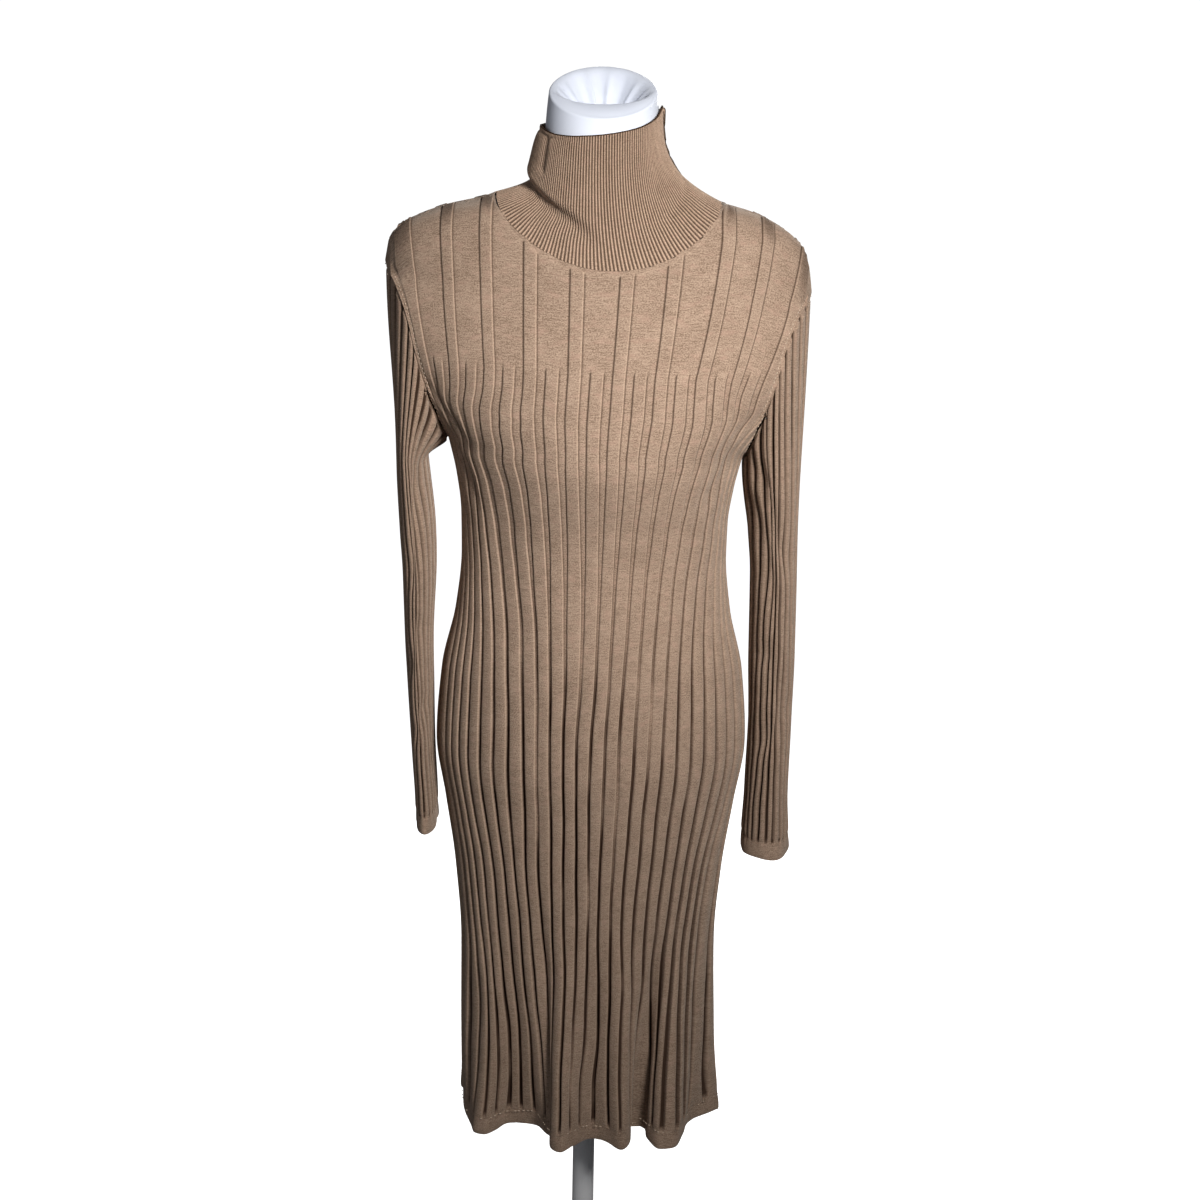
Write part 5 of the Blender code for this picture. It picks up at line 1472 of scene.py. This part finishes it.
def knit_material(name, light, dark, deep):
    """Heathered fine knit, with painted shade in its grooves and painted highlights on its ridges. The UV
    counts wales across and courses up.
    """
    g = Graph(name)
    uv = g.node("ShaderNodeUVMap", uv_map="knit").outputs["UV"]
    across, up = g.node("ShaderNodeSeparateXYZ", {0: uv}).outputs[:2]

    # Yarn: short streaks along the courses, stitch by stitch speckle, and slow cloudiness.
    streak = g.noise(uv, 1.0, 2.0, 0.6, stretch=(0.16, 0.62))
    speck = g.noise(uv, 1.0, 2.0, 0.6, stretch=(1.05, 0.85))
    cloud = g.noise(uv, 1.0, 3.0, 0.55, stretch=(0.05, 0.035))
    tone = g.scale_add(streak, 0.32, g.times(speck, 0.68))
    tone = g.spread(tone, 0.40, 0.60)
    tone = g.math("ADD", tone, g.spread(cloud, 0.3, 0.7, -0.14, 0.14), clamp=True)
    colour = g.mix(tone, rgb(*dark), rgb(*light))
    warm = g.noise(uv, 1.0, 2.0, 0.5, stretch=(0.10, 0.12))
    warmer = rgb(*[value * part for value, part in zip(light, (0.98, 0.88, 0.90))])
    colour = g.mix(g.spread(warm, 0.52, 0.72, 0.0, 0.45), colour, warmer)
    # Painted shade: the groove mark darkens the channels and creases towards the deep colour.
    groove = g.times(g.attribute("groove"), 0.96, clamp=True)
    colour = g.mix(groove, colour, rgb(*deep))
    # Painted highlight: the ridge mark lightens the raised stitches and crests.
    ridge = g.times(g.attribute("ridge"), 0.34, clamp=True)
    colour = g.mix(ridge, colour, rgb(*[min(1.0, value * 1.5) for value in light]))

    # Loops: V-shaped legs on the ribs, level ridges in the channels.
    cell = g.math("SUBTRACT", g.math("FRACT", across), 0.5)
    leg = g.times(g.math("ABSOLUTE", cell), 2.0)
    slant = g.scale_add(leg, 0.55, up)
    strand = g.scale_add(g.math("SINE", g.times(slant, TURN)), 0.5, 0.5)
    loops = g.times(strand, g.math("SINE", g.times(leg, math.pi)))
    courses = g.scale_add(g.math("SINE", g.times(up, TURN)), 0.4, 0.4)
    top = g.attribute("rib_top")
    surface = g.mix(top, courses, loops, "FLOAT")
    ladder = g.noise(uv, 1.0, 3.0, 0.65, stretch=(0.055, 0.40))
    ladder = g.times(ladder, g.scale_add(top, 2.2, 0.8))
    height = g.scale_add(surface, 0.8, ladder)
    fuzz = g.noise(uv, 1.0, 2.0, 0.7, stretch=(1.6, 1.6))
    g.bump(g.scale_add(fuzz, 0.6, height), 0.55, 0.0005)
    # Specular and sheen are cut where the grooves are painted with shade.
    open_face = g.math("SUBTRACT", 1.0, groove)
    g.set_shader(Base_Color=colour, Roughness=g.spread(tone, 0.0, 1.0, 0.94, 0.84),
                 Specular_IOR_Level=g.times(open_face, 0.25),
                 Sheen_Weight=g.times(open_face, 0.18), Sheen_Roughness=0.45,
                 Sheen_Tint=rgb(0.95, 0.86, 0.76))
    return g.material


def jersey_material(name, light, dark):
    """Smooth stretch jersey of the form's cover."""
    g = Graph(name)
    place = g.place()
    cloud = g.noise(place, 22.0, 3.0, 0.55)
    fine = g.noise(place, 1500.0, 2.0, 0.6)
    g.set_shader(Base_Color=g.mix(g.spread(cloud, 0.3, 0.7), rgb(*dark), rgb(*light)),
                 Roughness=g.spread(fine, 0.3, 0.7, 0.44, 0.60), Specular_IOR_Level=0.4,
                 Sheen_Weight=0.10, Sheen_Roughness=0.4)
    g.bump(g.scale_add(fine, 0.5, g.times(cloud, 1.2)), 0.35, 0.0006)
    return g.material


def coated_material(name, light, dark):
    """Satin powder coat on steel, with its fine orange-peel and a little dust."""
    g = Graph(name)
    place = g.place()
    peel = g.noise(place, 900.0, 2.0, 0.5)
    cloud = g.noise(place, 9.0, 4.0, 0.6)
    g.set_shader(Base_Color=g.mix(g.spread(cloud, 0.35, 0.7), rgb(*light), rgb(*dark)),
                 Roughness=g.spread(cloud, 0.3, 0.75, 0.30, 0.46), Coat_Weight=0.15, Coat_Roughness=0.3)
    g.bump(peel, 0.25, 0.0002)
    return g.material


def thread_material(name, light, dark):
    """Soft yarn of the seams' stitches."""
    g = Graph(name)
    fine = g.noise(g.place(), 1600.0, 2.0, 0.6)
    g.set_shader(Base_Color=g.mix(fine, rgb(*dark), rgb(*light)),
                 Roughness=g.spread(fine, 0.2, 0.8, 0.75, 0.9), Sheen_Weight=0.3, Sheen_Roughness=0.4)
    g.bump(fine, 0.3, 0.0002)
    return g.material


# ---- build the object ----
# Each knit's third colour is the painted shade of its grooves.
KNIT = knit_material("heathered_knit", (0.442, 0.315, 0.231), (0.197, 0.129, 0.087), (0.048, 0.027, 0.018))
RIB = knit_material("heathered_rib", (0.442, 0.310, 0.226), (0.197, 0.129, 0.087), (0.034, 0.019, 0.012))
COLLAR = knit_material("heathered_collar", (0.59, 0.415, 0.30), (0.30, 0.196, 0.134), (0.045, 0.025, 0.016))
JERSEY = jersey_material("white_jersey", (0.82, 0.86, 0.96), (0.77, 0.81, 0.92))
COATED = coated_material("powder_coat", (0.80, 0.80, 0.81), (0.70, 0.70, 0.71))
THREAD = thread_material("stitch_yarn", (0.74, 0.58, 0.44), (0.52, 0.39, 0.28))


def set_material(piece, material):
    """Give a piece its only material."""
    piece.data.materials.clear()
    piece.data.materials.append(material)


def finish_piece(piece, material, slot, *nodes):
    """Material, body and the CAD nodes that a piece stands for; slot is not used."""
    set_material(piece, material)
    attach(piece, "root")
    if nodes:
        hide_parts(*nodes)
    return piece


for panel in ("front", "back"):
    body = finish_piece(make_panel(panel), KNIT, "knit", "panel_" + panel)
    band = finish_piece(make_hem_band(panel), KNIT, "knit", "hem_" + panel)
    stitches = finish_piece(hem_stitches(panel), THREAD, "knit")

for name, sleeve in SLEEVES.items():
    tube = finish_piece(make_sleeve(name, sleeve), RIB, "rib", "sleeve_" + name)
    cuff = finish_piece(make_cuff(name, sleeve), KNIT, "knit", "cuff_" + name)
    marks = finish_piece(armhole_stitches(name, sleeve), THREAD, "knit")

collar = finish_piece(make_collar(), COLLAR, "rib", "collar")

torso = finish_piece(make_torso(), JERSEY, "cover", "form_torso")
neck = finish_piece(make_neck(), JERSEY, "cover", "form_neck")
for node in ("form_base", "form_pole"):
    set_material(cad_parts[node], COATED)

# ---- camera, light and floor ----
CAMERA_PLACE = (0.0075, -2.3, 1.66)
CAMERA_DOWN = 15.9          # degrees below level
CAMERA_ROLL = 1.05
CAMERA_LENS = 66.0
SENSOR = 36.0
FLOOR_RINGS = (0.3, 1.0, 3.0, 9.0)
FLOOR_SIDES = 96
FLOOR_HEIGHT = -0.0004
SURROUND_RADIUS = 40.0
SURROUND_GLOW = 1.05
WORLD_COLOUR = (0.93, 0.95, 1.0, 1.0)
WORLD_STRENGTH = 0.070
# Each light: place, target, size, power, colour and spread in degrees.
LIGHTS = {
    "key": ((0.66, -1.55, 1.96), (0.0, 0.0, 1.15), 0.45, 5.2, (1.0, 0.99, 0.97), 58.0),
    "fill": ((-1.7, -1.5, 1.9), (0.0, 0.0, 1.25), 1.4, 2.3, (0.95, 0.97, 1.0), 120.0),
    "back": ((0.5, 2.7, 1.5), (0.0, 0.0, 0.95), 1.6, 30.0, (1.0, 0.99, 0.97), 110.0),
}


def make_camera():
    """The camera at the photo's angle."""
    camera = bpy.data.cameras.new("camera")
    camera.lens = CAMERA_LENS
    camera.sensor_width = SENSOR
    camera.sensor_fit = "HORIZONTAL"
    camera.clip_start = 0.05
    camera.clip_end = 200.0
    made = place_object("camera", camera)
    pitch = Matrix.Rotation(math.radians(90 - CAMERA_DOWN), 4, "X")
    roll = Matrix.Rotation(math.radians(CAMERA_ROLL), 4, "Z")
    made.matrix_world = Matrix.Translation(CAMERA_PLACE) @ pitch @ roll
    bpy.context.scene.camera = made


def area_light(name, place, target, size, power, colour, spread):
    """A round lamp that faces its target."""
    light = bpy.data.lights.new(name, "AREA")
    light.shape = "DISK"
    light.size = size
    light.spread = math.radians(spread)
    light.energy = power
    light.color = colour
    made = place_object(name, light)
    made.location = place
    made.rotation_euler = (Vector(target) - Vector(place)).to_track_quat("-Z", "Y").to_euler()


def make_floor():
    """A plain pale floor that glows: a painted glow, weaker near the base and stronger further out, so that
    shadows fade away from it.
    """
    g = Graph("floor")
    place = g.place()
    cloud = g.noise(place, 3.0, 3.0, 0.5)
    distance = g.node("ShaderNodeVectorMath", {0: place}, operation="LENGTH").outputs["Value"]
    # Painted glow: the floor's emission grows with distance from the base.
    g.set_shader(Base_Color=g.mix(cloud, rgb(0.80, 0.80, 0.80), rgb(0.84, 0.84, 0.84)), Roughness=0.9,
                 Emission_Color=rgb(1, 1, 1), Emission_Strength=g.spread(distance, 0.25, 0.85, 0.55, 1.05))
    angles = 2 * math.pi * np.arange(FLOOR_SIDES) / FLOOR_SIDES
    points = [(0.0, 0.0, FLOOR_HEIGHT)]
    points += [(r * math.cos(a), r * math.sin(a), FLOOR_HEIGHT) for r in FLOOR_RINGS for a in angles]
    pairs = [(1 + k, 1 + (k + 1) % FLOOR_SIDES) for k in range(FLOOR_SIDES)]
    faces = [(0, a, b) for a, b in pairs]
    for inner in range(0, FLOOR_SIDES * (len(FLOOR_RINGS) - 1), FLOOR_SIDES):
        outer = inner + FLOOR_SIDES
        faces += [(a + inner, a + outer, b + outer, b + inner) for a, b in pairs]
    mesh = list_mesh("floor", points, faces)
    mesh.materials.append(g.material)
    return place_object("floor", mesh)


def make_surround():
    """A white surround that only the camera sees."""
    white = Graph("surround")
    white.set_shader(Base_Color=rgb(0, 0, 0), Roughness=1.0, Specular_IOR_Level=0.0,
                     Emission_Color=rgb(1, 1, 1), Emission_Strength=SURROUND_GLOW)
    bpy.ops.mesh.primitive_uv_sphere_add(segments=48, ring_count=24, radius=SURROUND_RADIUS)
    dome = bpy.context.object
    dome.name = "surround"
    dome.data.materials.append(white.material)
    return dome


def make_stage():
    """Floor and surround, which throw neither light nor shadow on the dress."""
    stage = (make_floor(), make_surround())
    for thing in stage:
        thing.visible_diffuse = False
        thing.visible_glossy = False
        thing.visible_transmission = False
        thing.visible_shadow = False


def make_light():
    """Soft studio light: a key, a fill, a light from behind and a pale world."""
    scene = bpy.context.scene
    scene.view_settings.view_transform = "Standard"
    scene.view_settings.look = "None"
    world = bpy.data.worlds.new("studio")
    world.use_nodes = True
    background = world.node_tree.nodes["Background"]
    background.inputs["Color"].default_value = WORLD_COLOUR
    background.inputs["Strength"].default_value = WORLD_STRENGTH
    scene.world = world
    for name, settings in LIGHTS.items():
        area_light(name, *settings)


make_camera()
make_stage()
make_light()
